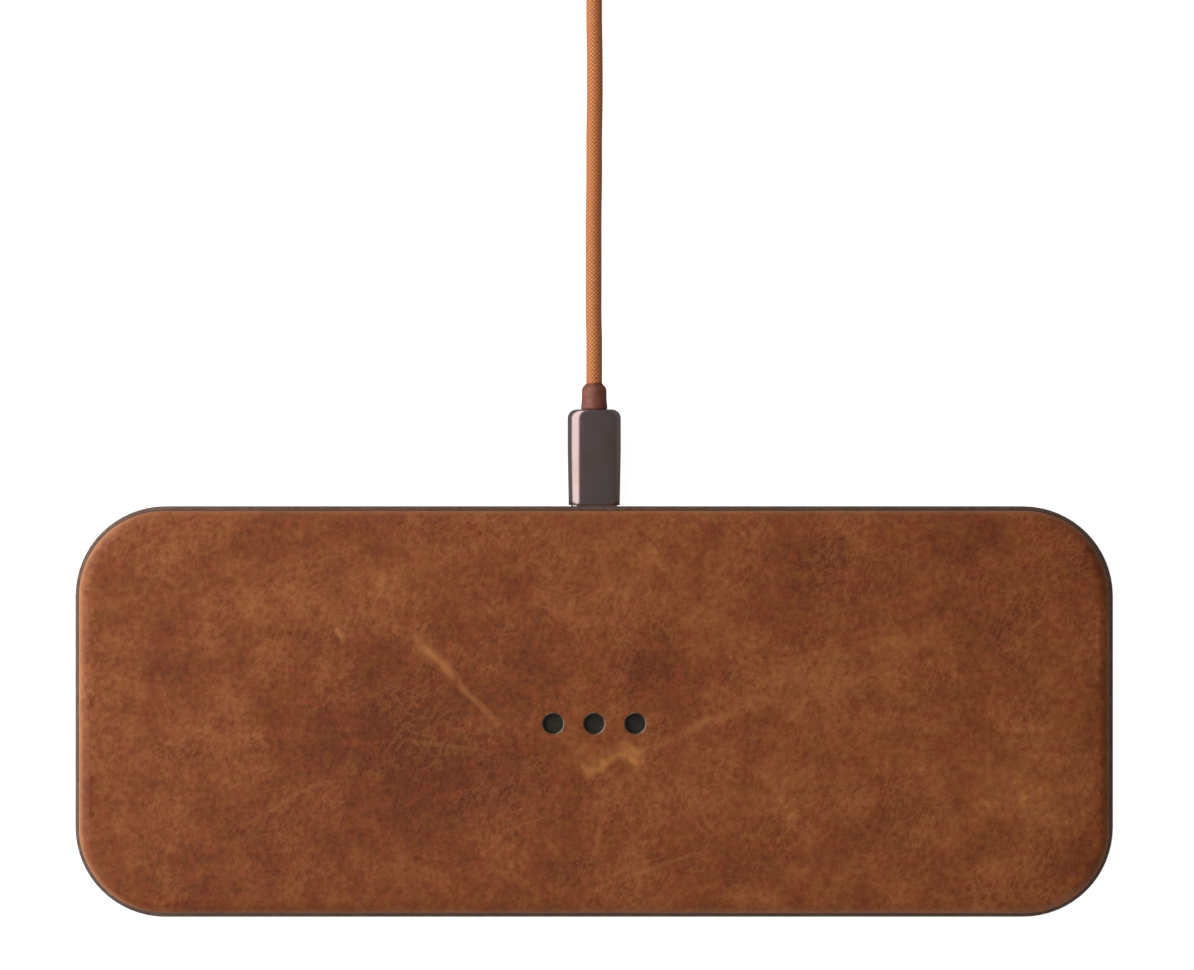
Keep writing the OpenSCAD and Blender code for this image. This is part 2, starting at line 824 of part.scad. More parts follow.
// Leather tie round the coil's turns, closed with a press button
module cord_tie() color("sienna") {
    l = wound_columns * cord_d;
    translate([wound_x, wound_y, 0])
        rotate(tie_place)
            translate([(wound_r_in + wound_r_out) / 2, 0, 0]) {
                difference() {
                    along_y(-tie_w / 2, tie_w)
                        translate([0, (wound_h + tie_t) / 2])
                            round_rect(l + 2 * tie_t, wound_h + tie_t, 2);
                    along_y(-tie_w / 2 - cut, tie_w + 2 * cut)
                        translate([0, (wound_h + tie_under) / 2])
                            round_rect(l, wound_h - tie_under, 1);
                }
                post(0, 0, tie_button_d, wound_h + tie_t / 2, wound_h + tie_t + tie_button_t);
            }
}

leather_cover();
foam_underlay();
top_plate();
light_guide();
status_leds();
coil_left();
coil_right();
ferrite_left();
ferrite_right();
temperature_sensor_left();
temperature_sensor_right();
main_board();
controller_chip();
driver_chips();
power_inductors();
resonant_capacitors();
filter_capacitors();
small_resistors();
thermal_pads();
board_screws();
socket_shell();
socket_tongue();
socket_contacts();
base_tray();
case_screws();
base_pad();
plug_shell();
plug_insert();
plug_contacts();
plug_board();
plug_core();
plug_housing();
strain_relief();
cord();
cord_coil();
cord_tail();
cord_tie();
far_plug_shell();
far_plug_insert();
far_plug_contacts();
far_plug_board();
far_plug_core();
far_plug_housing();
far_strain_relief();
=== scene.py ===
import json
import math

import bpy
from mathutils import Matrix, Vector, noise
from mathutils.geometry import delaunay_2d_cdt


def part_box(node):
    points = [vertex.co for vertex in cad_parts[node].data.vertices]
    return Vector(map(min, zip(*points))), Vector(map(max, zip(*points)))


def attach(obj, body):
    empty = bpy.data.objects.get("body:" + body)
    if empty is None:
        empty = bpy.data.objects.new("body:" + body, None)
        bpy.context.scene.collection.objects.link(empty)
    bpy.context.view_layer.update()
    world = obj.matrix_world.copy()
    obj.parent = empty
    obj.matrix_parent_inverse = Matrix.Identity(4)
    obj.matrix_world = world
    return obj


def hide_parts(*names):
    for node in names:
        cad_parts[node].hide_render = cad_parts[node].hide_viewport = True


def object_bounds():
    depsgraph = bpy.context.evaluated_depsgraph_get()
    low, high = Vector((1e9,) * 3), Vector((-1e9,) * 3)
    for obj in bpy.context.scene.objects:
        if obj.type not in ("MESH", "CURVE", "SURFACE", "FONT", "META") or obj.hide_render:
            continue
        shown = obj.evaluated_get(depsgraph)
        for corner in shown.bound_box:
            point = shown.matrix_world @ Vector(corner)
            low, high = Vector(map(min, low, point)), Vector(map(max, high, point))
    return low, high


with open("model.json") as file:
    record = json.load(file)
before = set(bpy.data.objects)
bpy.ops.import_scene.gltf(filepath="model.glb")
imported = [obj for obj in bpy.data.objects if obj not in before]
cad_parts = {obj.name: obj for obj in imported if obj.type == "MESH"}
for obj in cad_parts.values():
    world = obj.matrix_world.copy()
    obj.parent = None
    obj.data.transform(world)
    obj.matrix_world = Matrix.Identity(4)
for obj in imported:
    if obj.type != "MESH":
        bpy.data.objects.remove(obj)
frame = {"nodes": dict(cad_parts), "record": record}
cad_low, cad_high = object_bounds()

MM = 0.001

# ---- Places and sizes, in metres, from the frame ----

leather_low, leather_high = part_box("leather_cover")
base_low, base_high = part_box("base_pad")
casing_low, casing_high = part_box("plug_housing")
relief_low, relief_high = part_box("strain_relief")
coil_low, coil_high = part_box("cord_coil")
tie_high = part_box("cord_tie")[1]

leather_l = leather_high.x - leather_low.x
leather_w = leather_high.y - leather_low.y
plug_w = casing_high.x - casing_low.x
plug_t = casing_high.z - casing_low.z
plug_l = casing_high.y - casing_low.y
relief_d = relief_high.x - relief_low.x
relief_l = relief_high.y - casing_high.y
port_z = (casing_low.z + casing_high.z) / 2
exit_y = relief_high.y

cord_d = 2.8 * MM


# ---- Objects and the camera ----

# Straight above the pad, a little behind its middle, so that the cord runs out of the top of the view
CAMERA_HEIGHT = 1.2
VIEW_WIDTH = 0.2129
VIEW_CENTRE = Vector((0.0005, 0.0404, 0.007))


def add_object(name, data):
    """A new object in the scene that shows the data."""
    made = bpy.data.objects.new(name, data)
    bpy.context.scene.collection.objects.link(made)
    return made


def add_camera():
    data = bpy.data.cameras.new("camera")
    data.sensor_fit = "HORIZONTAL"
    data.lens = data.sensor_width * CAMERA_HEIGHT / VIEW_WIDTH
    camera = add_object("camera", data)
    camera.location = VIEW_CENTRE + Vector((0, 0, CAMERA_HEIGHT))
    bpy.context.scene.camera = camera


# ---- Materials: the calls that build them ----


def colour(red, green, blue):
    """The linear colour of three display values from 0 to 255."""
    linear = [v / 255 / 12.92 if v < 11 else ((v / 255 + 0.055) / 1.055) ** 2.4 for v in (red, green, blue)]
    return (*linear, 1.0)


class Look:
    """A material, with short calls that add nodes to it and join them. Lengths are in metres, and base is
    a colour in display values."""

    def __init__(self, name, base, roughness, **sockets):
        self.material = bpy.data.materials.new(name)
        self.material.use_nodes = True
        self.tree = self.material.node_tree
        self.shader = next(n for n in self.tree.nodes if n.type == "BSDF_PRINCIPLED")
        self.set("Base Color", colour(*base))
        self.set("Roughness", roughness)
        for socket, value in sockets.items():
            self.set(socket.replace("_", " "), value)
        self.place = self.node("TexCoord").outputs["Object"]

    def set(self, socket, value):
        self.join(self.shader.inputs[socket], value)

    def join(self, socket, value):
        if isinstance(value, bpy.types.NodeSocket):
            self.tree.links.new(value, socket)
        else:
            socket.default_value = value

    def node(self, kind, inputs=None, **settings):
        made = self.tree.nodes.new("ShaderNode" + kind)
        for key, value in settings.items():
            setattr(made, key, value)
        for key, value in (inputs or {}).items():
            self.join(made.inputs[key], value)
        return made

    def math(self, operation, first, second=0.0, third=0.0, clamp=False):
        inputs = {0: first, 1: second, 2: third}
        return self.node("Math", inputs, operation=operation, use_clamp=clamp).outputs[0]

    def vector(self, operation, first, second):
        return self.node("VectorMath", {0: first, 1: second}, operation=operation).outputs[0]

    def noise(self, size, detail=2.0, roughness=0.5, place=None, distortion=0.0):
        """Smooth noise from 0 to 1, whose spots are about that size."""
        inputs = {
            "Vector": place or self.place, "Scale": 1 / size, "Detail": detail,
            "Roughness": roughness, "Distortion": distortion,
        }
        return self.node("TexNoise", inputs).outputs[0]

    def cells(self, size, place=None, feature="DISTANCE_TO_EDGE"):
        """Distance to the nearest border, or middle, of cells of that size."""
        inputs = {"Vector": place or self.place, "Scale": 1 / size}
        return self.node("TexVoronoi", inputs, feature=feature).outputs["Distance"]

    def warped(self, size, reach):
        """The place, shifted by noise of that size, so that nothing runs straight."""
        shift = self.node("TexNoise", {"Vector": self.place, "Scale": 1 / size, "Detail": 2.0}).outputs[1]
        shift = self.vector("SUBTRACT", shift, (0.5, 0.5, 0.5))
        return self.vector("ADD", self.place, self.vector("MULTIPLY", shift, (reach, reach, reach)))

    def ramp(self, value, *stops):
        """Display values as colours at the given places from 0 to 1."""
        node = self.node("ValToRGB", {0: value})
        while len(node.color_ramp.elements) < len(stops):
            node.color_ramp.elements.new(0.5)
        for element, (place, shade) in zip(node.color_ramp.elements, stops):
            element.position = place
            element.color = colour(*shade)
        return node.outputs[0]

    def range(self, value, from_low, from_high, to_low=0.0, to_high=1.0):
        inputs = {0: value, 1: from_low, 2: from_high, 3: to_low, 4: to_high}
        return self.node("MapRange", inputs, interpolation_type="SMOOTHSTEP").outputs[0]

    def mix(self, share, first, second, blend="MIX"):
        node = self.node("Mix", data_type="RGBA", blend_type=blend, clamp_factor=True)
        for index, value in ((0, share), (6, first), (7, second)):
            self.join(node.inputs[index], value)
        return node.outputs[2]

    def mottle(self, size, detail, dark, light):
        """Colours the whole surface with soft noise from dark to light."""
        self.set("Base Color", self.ramp(self.noise(size, detail), (0.3, dark), (0.7, light)))

    def bump(self, height, depth, strength=1.0, under=None):
        """Relief of that depth, on top of another relief."""
        inputs = {"Height": height, "Distance": depth, "Strength": strength}
        if under is not None:
            inputs["Normal"] = under
        return self.node("Bump", inputs).outputs[0]


# ---- Materials of the top and the cable ----

# Marks on the leather: start, end and half-width in mm from the pad's middle, and how light they are
SCRATCHES = [
    ((-31.5, 13.0), (-16.8, -2.4), 0.5, 0.5),
    ((-32.5, 13.5), (-25.0, 6.5), 1.1, 0.3),
    ((-46.0, 14.9), (-44.6, 12.3), 0.5, 0.6),
    ((8.1, -6.9), (29.5, 2.0), 0.8, 0.32),
    ((-0.8, -31.9), (18.8, -24.7), 0.35, 0.25),
    ((41.0, 2.5), (62.0, 14.0), 0.7, 0.16),
    ((0.5, -25.0), (1.5, -13.5), 0.4, 0.25),
    ((-34.0, -5.0), (-18.0, -7.0), 0.4, 0.22),
    ((9.0, 30.0), (18.0, 18.0), 0.6, 0.2),
    ((-62.0, -20.0), (-48.0, -12.0), 0.4, 0.2),
]
# Patches: middle in mm, reach in x and y, and how light or, below 0, how dark they are
PATCHES = [
    ((-40, -2), (28, 18), -0.6),
    ((-24, -13), (26, 13), -0.5),
    ((-55, -20), (18, 10), -0.35),
    ((-12, 13), (10, 8), -0.45),
    ((9, 11), (8, 11), -0.38),
    ((44, 25), (18, 8), -0.3),
    ((72, 15), (14, 9), -0.28),
    ((86, 26), (8, 9), -0.35),
    ((24, -26), (24, 8), -0.38),
    ((56, -21), (12, 8), -0.2),
    ((-70, 6), (14, 7), -0.15),
    ((1, -7.5), (10, 5.5), 0.7),
    ((2.5, -8.8), (7.5, 3.8), 0.75),
    ((-62, 21), (28, 8), 0.35),
    ((-34, 23), (17, 9), 0.3),
    ((-90, 20), (5, 5), 0.5),
    ((-84, 4), (9, 22), 0.2),
    ((22, 14), (9, 9), 0.42),
    ((34, 5), (14, 8), 0.35),
    ((58, 12), (16, 5), 0.3),
    ((54, -6), (17, 9), 0.3),
    ((78, -15), (14, 12), 0.42),
    ((31, -13), (12, 8), 0.3),
    ((8, 30), (12, 4), 0.25),
    ((-27, -30), (10, 5), 0.3),
    ((-80, -22), (10, 12), 0.15),
]


def scratch_mask(look, place, start, end, half_width):
    """1 along a soft line from start to end, 0 away from it."""
    run = Vector(end) - Vector(start)
    inputs = {
        "Vector": place,
        "Location": (start[0] * MM, start[1] * MM, 0),
        "Rotation": (0, 0, math.atan2(run.y, run.x)),
    }
    turned = look.node("Mapping", inputs, vector_type="TEXTURE").outputs[0]
    parts = look.node("SeparateXYZ", {0: turned}).outputs
    length = run.length * MM
    across = look.range(look.math("ABSOLUTE", parts[1]), 0.0, half_width * 2 * MM, 1.0, 0.0)
    first = look.range(parts[0], -0.1 * length, 0.15 * length)
    last = look.range(parts[0], 0.8 * length, 1.1 * length, 1.0, 0.0)
    return look.math("MULTIPLY", across, look.math("MULTIPLY", first, last))


def patch_mask(look, place, middle, reach):
    """1 in the middle of a soft oval, 0 outside it."""
    inputs = {
        "Vector": place,
        "Location": (middle[0] * MM, middle[1] * MM, leather_high.z),
        "Scale": (reach[0] * MM, reach[1] * MM, 1.0),
    }
    scaled = look.node("Mapping", inputs, vector_type="TEXTURE").outputs[0]
    distance = look.node("VectorMath", {0: scaled}, operation="LENGTH").outputs["Value"]
    return look.range(distance, 0.25, 1.0, 1.0, 0.0)


def veins(look, size, width, place):
    """Fine wandering lines, 1 in their middle, as of creases in grain."""
    offset = look.math("ABSOLUTE", look.math("SUBTRACT", look.noise(size, 2.0, 0.5, place), 0.5))
    return look.range(offset, 0.0, width, 1.0, 0.0)


def leather_tone(look, dark, middle, light, pale, red, olive, shift=0.0):
    """Clouds and mottling in pull-up leather: tones from dark to pale that lean to red or to olive."""
    place = look.warped(6 * MM, 2.5 * MM)
    clouds = look.noise(24 * MM, 3.0, 0.55)
    blotches = look.noise(5 * MM, 4.0, 0.6, place)
    specks = look.noise(1.2 * MM, 3.0, 0.55)
    tone = look.math("MULTIPLY_ADD", clouds, 0.28, shift)
    tone = look.math("MULTIPLY_ADD", blotches, 0.38, tone)
    tone = look.math("MULTIPLY_ADD", specks, 0.34, tone)
    base = look.ramp(tone, (0.37, dark), (0.5, middle), (0.63, light), (0.76, pale))
    lean = look.noise(2.6 * MM, 3.0, 0.6, place)
    base = look.mix(look.range(lean, 0.52, 0.68, 0.0, 0.4), base, colour(*red))
    return look.mix(look.range(lean, 0.48, 0.34, 0.0, 0.35), base, colour(*olive))


def leather_relief(look, depth=0.05 * MM):
    """Fine pebbled grain with faint creases."""
    grain = look.cells(0.6 * MM, look.warped(2 * MM, 0.6 * MM), "SMOOTH_F1")
    creases = veins(look, 2.2 * MM, 0.07, look.warped(5 * MM, 2 * MM))
    swell = look.noise(7 * MM, 3.0)
    first = look.bump(swell, 4 * depth, 0.5)
    second = look.bump(creases, -depth, 0.25, first)
    return look.bump(grain, depth, 0.3, second)


def leather_look():
    look = Look("pull_up_leather", (124, 60, 26), 0.55, Specular_IOR_Level=0.25)
    wander = look.warped(5 * MM, 1.6 * MM)
    ragged = look.warped(8 * MM, 13 * MM)
    shift = 0.0
    for middle, reach, strength in PATCHES:
        shift = look.math("MULTIPLY_ADD", patch_mask(look, ragged, middle, reach), 0.16 * strength, shift)
    base = leather_tone(
        look, (102, 44, 16), (128, 63, 26), (153, 88, 44), (188, 122, 62),
        (142, 60, 31), (130, 77, 20), shift,
    )
    # fine light creases, drawn out one way, that show more in some places than in others
    inputs = {
        "Vector": look.warped(12 * MM, 6 * MM), "Rotation": (0, 0, math.radians(58)), "Scale": (2.0, 1, 1),
    }
    drawn_out = look.node("Mapping", inputs, vector_type="TEXTURE").outputs[0]
    where = look.range(look.noise(12 * MM, 3.0), 0.4, 0.6, 0.15, 1.0)
    long_veins = look.math("MULTIPLY", veins(look, 1.3 * MM, 0.08, drawn_out), where)
    short_veins = veins(look, 0.8 * MM, 0.13, wander)
    base = look.mix(look.math("MULTIPLY", long_veins, 0.18), base, colour(198, 126, 80))
    base = look.mix(look.math("MULTIPLY", short_veins, 0.09), base, colour(190, 116, 70))
    for start, end, half_width, strength in SCRATCHES:
        mask = look.math("MULTIPLY", scratch_mask(look, wander, start, end, half_width), strength)
        broken = look.math("MULTIPLY", mask, look.range(look.noise(2.2 * MM, 3.0), 0.3, 0.6, 0.3, 1.0))
        base = look.mix(broken, base, colour(194, 126, 72))
    # the rounded edge is rubbed lighter and smoother, and its lighter colour is also a painted highlight,
    # strongest at the pad's left end, which faces the key light
    parts = look.node("SeparateXYZ", {0: look.place}).outputs
    low_edge = look.range(parts[2], leather_high.z - 1.5 * MM, leather_high.z - 0.15 * MM, 1.0, 0.0)
    # painted highlight: 1 at the left end and 0.4 elsewhere, so the edge's light band shows most on the
    # side the key light falls on
    left_highlight_bias = look.range(parts[0], leather_low.x + 2 * MM, leather_low.x + 16 * MM, 1.0, 0.4)
    rub_and_highlight = look.math("MULTIPLY", low_edge, left_highlight_bias)
    # painted highlight: pale peach on the low rounded edge, mostly at the left end; the lower roughness
    # below is real rubbing
    base = look.mix(look.math("MULTIPLY", rub_and_highlight, 0.5), base, colour(228, 168, 122))
    look.set("Base Color", base)
    matt = look.range(look.noise(9 * MM, 4.0, 0.6), 0.3, 0.7, 0.48, 0.62)
    look.set("Roughness", look.math("MULTIPLY_ADD", rub_and_highlight, -0.18, matt))
    look.set("Normal", leather_relief(look))
    return look.material


def cut_edge_look():
    """The leather's cut and sealed edge in the windows."""
    look = Look(
        "sealed_leather_edge", (70, 50, 34), 0.3, Specular_IOR_Level=1.0,
        Specular_Tint=(1.0, 0.86, 0.68, 1.0), Coat_Weight=0.5, Coat_Roughness=0.2,
    )
    look.mottle(0.5 * MM, 3.0, (60, 42, 28), (92, 70, 50))
    look.set("Normal", look.bump(look.noise(0.2 * MM, 2.0), 0.02 * MM, 0.4))
    return look.material


def strap_look():
    look = Look("strap_leather", (120, 62, 34), 0.52, Specular_IOR_Level=0.4)
    base = leather_tone(
        look, (88, 44, 24), (118, 60, 33), (146, 82, 48), (160, 96, 60), (128, 56, 36), (108, 68, 28),
    )
    look.set("Base Color", base)
    look.set("Normal", leather_relief(look))
    return look.material


def thread_look():
    look = Look("waxed_thread", (196, 160, 116), 0.6, Sheen_Weight=0.2)
    inputs = {"Scale": 900.0, "Distortion": 1.5, "Vector": look.place}
    twist = look.node("TexWave", inputs, bands_direction="DIAGONAL").outputs[1]
    # the colour follows the twist's bands, the same as its bump: painted shade in the twist's grooves
    look.set("Base Color", look.ramp(twist, (0.2, (165, 128, 88)), (0.8, (208, 174, 130))))
    look.set("Normal", look.bump(twist, 0.05 * MM, 0.6))
    return look.material


BRAID_STRANDS = 12  # strands that run each way round the cord
BRAID_PITCH = 0.72 * MM  # from strand to strand along it
BRAID_ROUND = 3.6  # how much a strand falls away from its middle line, by the square of the distance
BRAID_DEPTH = 0.05 * MM
BRAID_MEAN = 0.6  # relief that lies on the cord's own radius


def braid_look():
    """A close braid: two sets of strands that cross over and under, along the tube's own map."""
    look = Look("cord_braid", (180, 98, 48), 0.6, Sheen_Weight=0.2, Sheen_Roughness=0.4)
    around, along, _ = look.node("SeparateXYZ", {0: look.node("UVMap", uv_map="braid").outputs[0]}).outputs
    turns = look.math("MULTIPLY", around, float(BRAID_STRANDS))
    steps = look.math("DIVIDE", along, BRAID_PITCH)
    right, left = look.math("ADD", turns, steps), look.math("SUBTRACT", turns, steps)
    parity = look.math("ADD", look.math("FLOOR", right), look.math("FLOOR", left))
    over = look.math("MULTIPLY", look.math("FRACT", look.math("MULTIPLY", parity, 0.5)), 2.0)
    # each strand is round across and dips where it goes under the other set
    profiles = []
    for strand in (right, left):
        across = look.math("SUBTRACT", look.math("FRACT", strand), 0.5)
        squared = look.math("MULTIPLY", across, across)
        profiles.append(look.math("MULTIPLY_ADD", squared, -BRAID_ROUND, 1.0))
    top = look.node("Mix", {0: over, 2: profiles[0], 3: profiles[1]}, data_type="FLOAT").outputs[0]
    threads = look.noise(0.25 * MM, 2.0)
    shade = look.math("MULTIPLY_ADD", look.math("SUBTRACT", threads, 0.5), 0.5, top)
    worn = look.noise(9 * MM, 3.0)
    # the colour follows the strands' relief, darker where they fall away and dip under the other set:
    # painted shade in the braid's grooves, with random thread tone on top
    base = look.ramp(shade, (0.1, (110, 50, 18)), (0.62, (188, 94, 32)), (1.0, (230, 152, 92)))
    base = look.mix(look.range(worn, 0.4, 0.7, 0.0, 0.3), base, colour(202, 112, 44))
    look.set("Base Color", base)
    look.set("Normal", look.bump(top, 0.09 * MM, 0.7))
    return look.material


def plug_metal_look():
    look = Look("plug_metal", (155, 137, 133), 0.2, Metallic=0.95)
    drift = look.noise(6 * MM, 3.0, 0.6)
    base = look.ramp(drift, (0.32, (150, 130, 122)), (0.5, (156, 136, 133)), (0.68, (152, 135, 138)))
    look.set("Base Color", base)
    look.set("Roughness", look.range(look.noise(5 * MM, 1.0), 0.3, 0.7, 0.19, 0.23))
    return look.material


def relief_look():
    look = Look("relief_rubber", (128, 72, 58), 0.48, Specular_IOR_Level=0.4)
    look.mottle(1.2 * MM, 3.0, (116, 63, 50), (142, 82, 66))
    look.set("Normal", look.bump(look.noise(0.18 * MM, 3.0), 0.015 * MM, 0.6))
    return look.material


def bronze_look():
    """Dark bronze anodised metal, satin, with fine brushed streaks."""
    look = Look("bronze_metal", (136, 112, 100), 0.38, Metallic=0.75)
    brushed = look.node("Mapping", {"Vector": look.place, "Scale": (1.0, 1.0, 14.0)}).outputs[0]
    streaks = look.noise(1.5 * MM, 3.0, 0.6, brushed)
    base = look.ramp(streaks, (0.3, (124, 100, 88)), (0.7, (148, 124, 111)))
    look.set("Base Color", base)
    look.set("Roughness", look.range(look.noise(0.5 * MM, 3.0), 0.3, 0.7, 0.3, 0.42))
    look.set("Normal", look.bump(look.noise(0.12 * MM, 2.0), 0.006 * MM, 0.5))
    return look.material


def rubber_look():
    """Rubber with a fine moulded pattern of small domes."""
    look = Look("base_rubber", (34, 32, 31), 0.62, Specular_IOR_Level=0.35)
    domes = look.cells(0.9 * MM, feature="F1")
    look.mottle(4 * MM, 4.0, (28, 26, 25), (44, 41, 39))
    under = look.bump(look.range(domes, 0.1, 0.5, 1.0, 0.0), 0.05 * MM, 0.5)
    look.set("Normal", look.bump(look.noise(0.15 * MM, 2.0), 0.01 * MM, 0.5, under))
    return look.material


# ---- Materials of the pieces inside ----

# Slot: darker colour, lighter colour, roughness, metallic, size of the mottling in mm, and depth of
# the fine relief in mm
INNER_FINISHES = {
    "foam": ((30, 30, 31), (52, 52, 54), 0.95, 0.0, 0.5, 0.06),
    "inner_plastic": ((40, 40, 41), (52, 52, 53), 0.55, 0.0, 0.3, 0.012),
    "smoked_plastic": ((36, 30, 23), (56, 49, 40), 0.3, 0.0, 1.5, 0.002),
    "plug_steel": ((184, 183, 181), (202, 201, 199), 0.28, 1.0, 4.0, 0.0),
    "contact_gold": ((200, 156, 74), (226, 186, 104), 0.22, 1.0, 0.6, 0.002),
    "black_mould": ((20, 20, 21), (31, 31, 32), 0.45, 0.0, 0.3, 0.01),
    "chip": ((30, 30, 32), (42, 42, 45), 0.5, 0.0, 0.25, 0.01),
    "ceramic": ((168, 136, 104), (192, 162, 128), 0.5, 0.0, 0.4, 0.008),
    "lamp": ((206, 208, 200), (232, 234, 228), 0.12, 0.0, 0.6, 0.001),
    "copper": ((186, 104, 62), (214, 132, 84), 0.25, 1.0, 1.2, 0.004),
    "ferrite": ((58, 58, 61), (76, 76, 80), 0.6, 0.0, 0.4, 0.015),
    "sensor": ((150, 96, 40), (180, 122, 58), 0.4, 0.0, 0.5, 0.006),
    "silicone": ((150, 168, 186), (172, 188, 202), 0.7, 0.0, 0.5, 0.02),
    "screw_steel": ((128, 128, 130), (168, 168, 170), 0.3, 1.0, 0.4, 0.004),
}


def inner_look(slot_name):
    dark, light, roughness, metallic, spot, depth = INNER_FINISHES[slot_name]
    look = Look(slot_name, light, roughness, Metallic=metallic)
    look.mottle(spot * MM, 4.0, dark, light)
    look.set("Normal", look.bump(look.noise(0.15 * MM, 3.0), depth * MM, 0.6))
    return look.material


def board_look():
    """Green lacquer over fine copper tracks."""
    look = Look("circuit_board", (22, 82, 52), 0.3, Specular_IOR_Level=0.5)
    inputs = {"Vector": look.place, "Scale": 1 / (0.9 * MM)}
    tracks = look.node("TexVoronoi", inputs, feature="F1", distance="MANHATTAN").outputs["Distance"]
    lines = look.range(look.math("PINGPONG", tracks, 0.12), 0.05, 0.07)
    look.set("Base Color", look.mix(lines, colour(16, 66, 42), colour(34, 102, 62)))
    look.set("Normal", look.bump(lines, 0.03 * MM, 0.4))
    return look.material


LOOKS = {
    "leather": leather_look(),
    "cut_edge": cut_edge_look(),
    "leather_strap": strap_look(),
    "thread": thread_look(),
    "braid": braid_look(),
    "plug_metal": plug_metal_look(),
    "relief_rubber": relief_look(),
    "bronze_metal": bronze_look(),
    "base_rubber": rubber_look(),
    "circuit_board": board_look(),
    **{name: inner_look(name) for name in INNER_FINISHES},
}


def dress_cad_nodes():
    """Gives each CAD node the material of its slot."""
    for part in frame["record"]["subparts"]:
        slots = frame["nodes"][part["node"]].material_slots
        for index in range(len(slots)):
            slots[index].material = LOOKS[part["material_slot"]]


# ---- Meshes: the calls that build them ----


def add_piece(name, points, faces, body, slot_name, stands_for=(), looks=None, face_looks=None):
    """A smooth mesh piece that rides on a body, stands for the CAD nodes named and wears its slot's look,
    or the looks named."""
    mesh = bpy.data.meshes.new(name)
    mesh.from_pydata([tuple(p) for p in points], [], faces)
    for look in looks or [slot_name]:
        mesh.materials.append(LOOKS[look])
    if face_looks:
        mesh.polygons.foreach_set("material_index", face_looks)
    mesh.polygons.foreach_set("use_smooth", [True] * len(mesh.polygons))
    mesh.update()
    piece = add_object(name, mesh)
    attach(piece, body)
    if stands_for:
        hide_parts(*stands_for)
    return piece


def skin(rings, first=0, closed=False):
    """Faces between rings of one size, whose points are numbered from first."""
    size, faces = rings[1], []
    last = rings[0] if closed else rings[0] - 1
    for i in range(last):
        low, high = first + i * size, first + (i + 1) % rings[0] * size
        for k in range(size):
            n = (k + 1) % size
            faces.append((low + k, low + n, high + n, high + k))
    return faces


def capped(rings, first=0):
    """Faces between rings of one size, with the first and the last ring closed."""
    count, size = rings
    last = first + (count - 1) * size
    faces = skin(rings, first)
    faces.append(tuple(reversed(range(first, first + size))))
    faces.append(tuple(range(last, last + size)))
    return faces


def heading(angle):
    """The unit vector in a plane at an angle in radians."""
    return Vector((math.cos(angle), math.sin(angle)))


def smooth_step(value):
    value = min(max(value, 0.0), 1.0)
    return value * value * (3 - 2 * value)


def quarter_signs(quarter):
    """Sides of the middle on which a quarter of a ring lies, anticlockwise from + and +."""
    return (1 if quarter in (0, 3) else -1), (1 if quarter < 2 else -1)


def arc_points(middle, radius, start, end, steps):
    """Points of an arc in a plane, with its angles in degrees."""
    angles = [math.radians(start + (end - start) * i / steps) for i in range(steps + 1)]
    return [(middle[0] + radius * math.cos(a), middle[1] + radius * math.sin(a)) for a in angles]


def round_outline(length, width, radius, spacing, arc_steps=24):
    """Points round a rectangle with round corners, anticlockwise, each with its outward direction."""
    found = []
    for quarter in range(4):
        sign_x, sign_y = quarter_signs(quarter)
        middle = Vector((sign_x * (length / 2 - radius), sign_y * (width / 2 - radius)))
        for step in range(arc_steps + 1):
            angle = math.radians(90 * (quarter + step / arc_steps))
            out = heading(angle)
            found.append((middle + radius * out, out))
        side = (length if quarter % 2 == 0 else width) - 2 * radius
        steps = max(1, round(side / spacing))
        along = Vector((-out.y, out.x))
        found += [(middle + radius * out + along * side * i / steps, out) for i in range(1, steps)]
    return found


# ---- Cord ----

# From the exit to the wound coil: across, along from the exit, and the share of the exit's height that
# is left, in mm
CORD_ROUTE = [
    (0, 0, 1), (0, 4, 1), (0, 8, 0.9), (-0.1, 12, 0.65), (-0.1, 16, 0.35), (-0.1, 20, 0.1),
    (-0.1, 24, 0), (-0.1, 30, 0), (0, 37, 0), (0, 44, 0), (0.1, 51, 0), (0.1, 58, 0),
    (0, 65, 0), (0, 72, 0), (0, 79, 0), (0, 86, 0), (0, 93, 0), (0, 100, 0),
]
# From the coil down to the far plug
TAIL_ROUTE = [
    (0, 0, 1), (0, 4, 1), (0, 9, 0.88), (0, 14, 0.65), (0, 19, 0.36), (0, 24, 0.12),
    (0, 29, 0), (0, 34, 0),
]
COLUMNS = 5
LAYERS = 4
WOUND_EXIT = 60  # place on the coil where the tail leaves, in degrees from +X
STEP_OVER = 65  # degrees of a turn over which the cord steps to its next place
TIE_PLACE = -45
TIE_HALF = 22  # half of the angle that the tie takes up
TIE_UNDER = 0.7 * MM  # thickness of the tie under the coil

lie_z = cord_d / 2
coil_middle = (coil_low + coil_high) / 2
wound_r_out = (coil_high.x - coil_low.x) / 2 - cord_d / 2
wound_h = coil_high.z - coil_low.z
tail_z = wound_h - cord_d / 2
tail_start = coil_middle.xy + wound_r_out * heading(math.radians(WOUND_EXIT))
tail_heading = math.radians(WOUND_EXIT - 90)


def through(points, steps=12):
    """A smooth line through the points."""
    ends = [2 * points[0] - points[1]] + points + [2 * points[-1] - points[-2]]
    line = []
    for a, b, c, d in zip(ends, ends[1:], ends[2:], ends[3:]):
        for i in range(steps):
            t = i / steps
            bend = (2 * a - 5 * b + 4 * c - d) * t ** 2 + (3 * b - a - 3 * c + d) * t ** 3
            line.append(0.5 * (2 * b + (c - a) * t + bend))
    return line + [points[-1]]


def wound_place(turn):
    """Radius and height of a whole turn: out and in by turns, layer on layer."""
    layer, count = divmod(turn, COLUMNS)
    column = count if layer % 2 == 0 else COLUMNS - 1 - count
    return wound_r_out - column * cord_d, lie_z + layer * cord_d


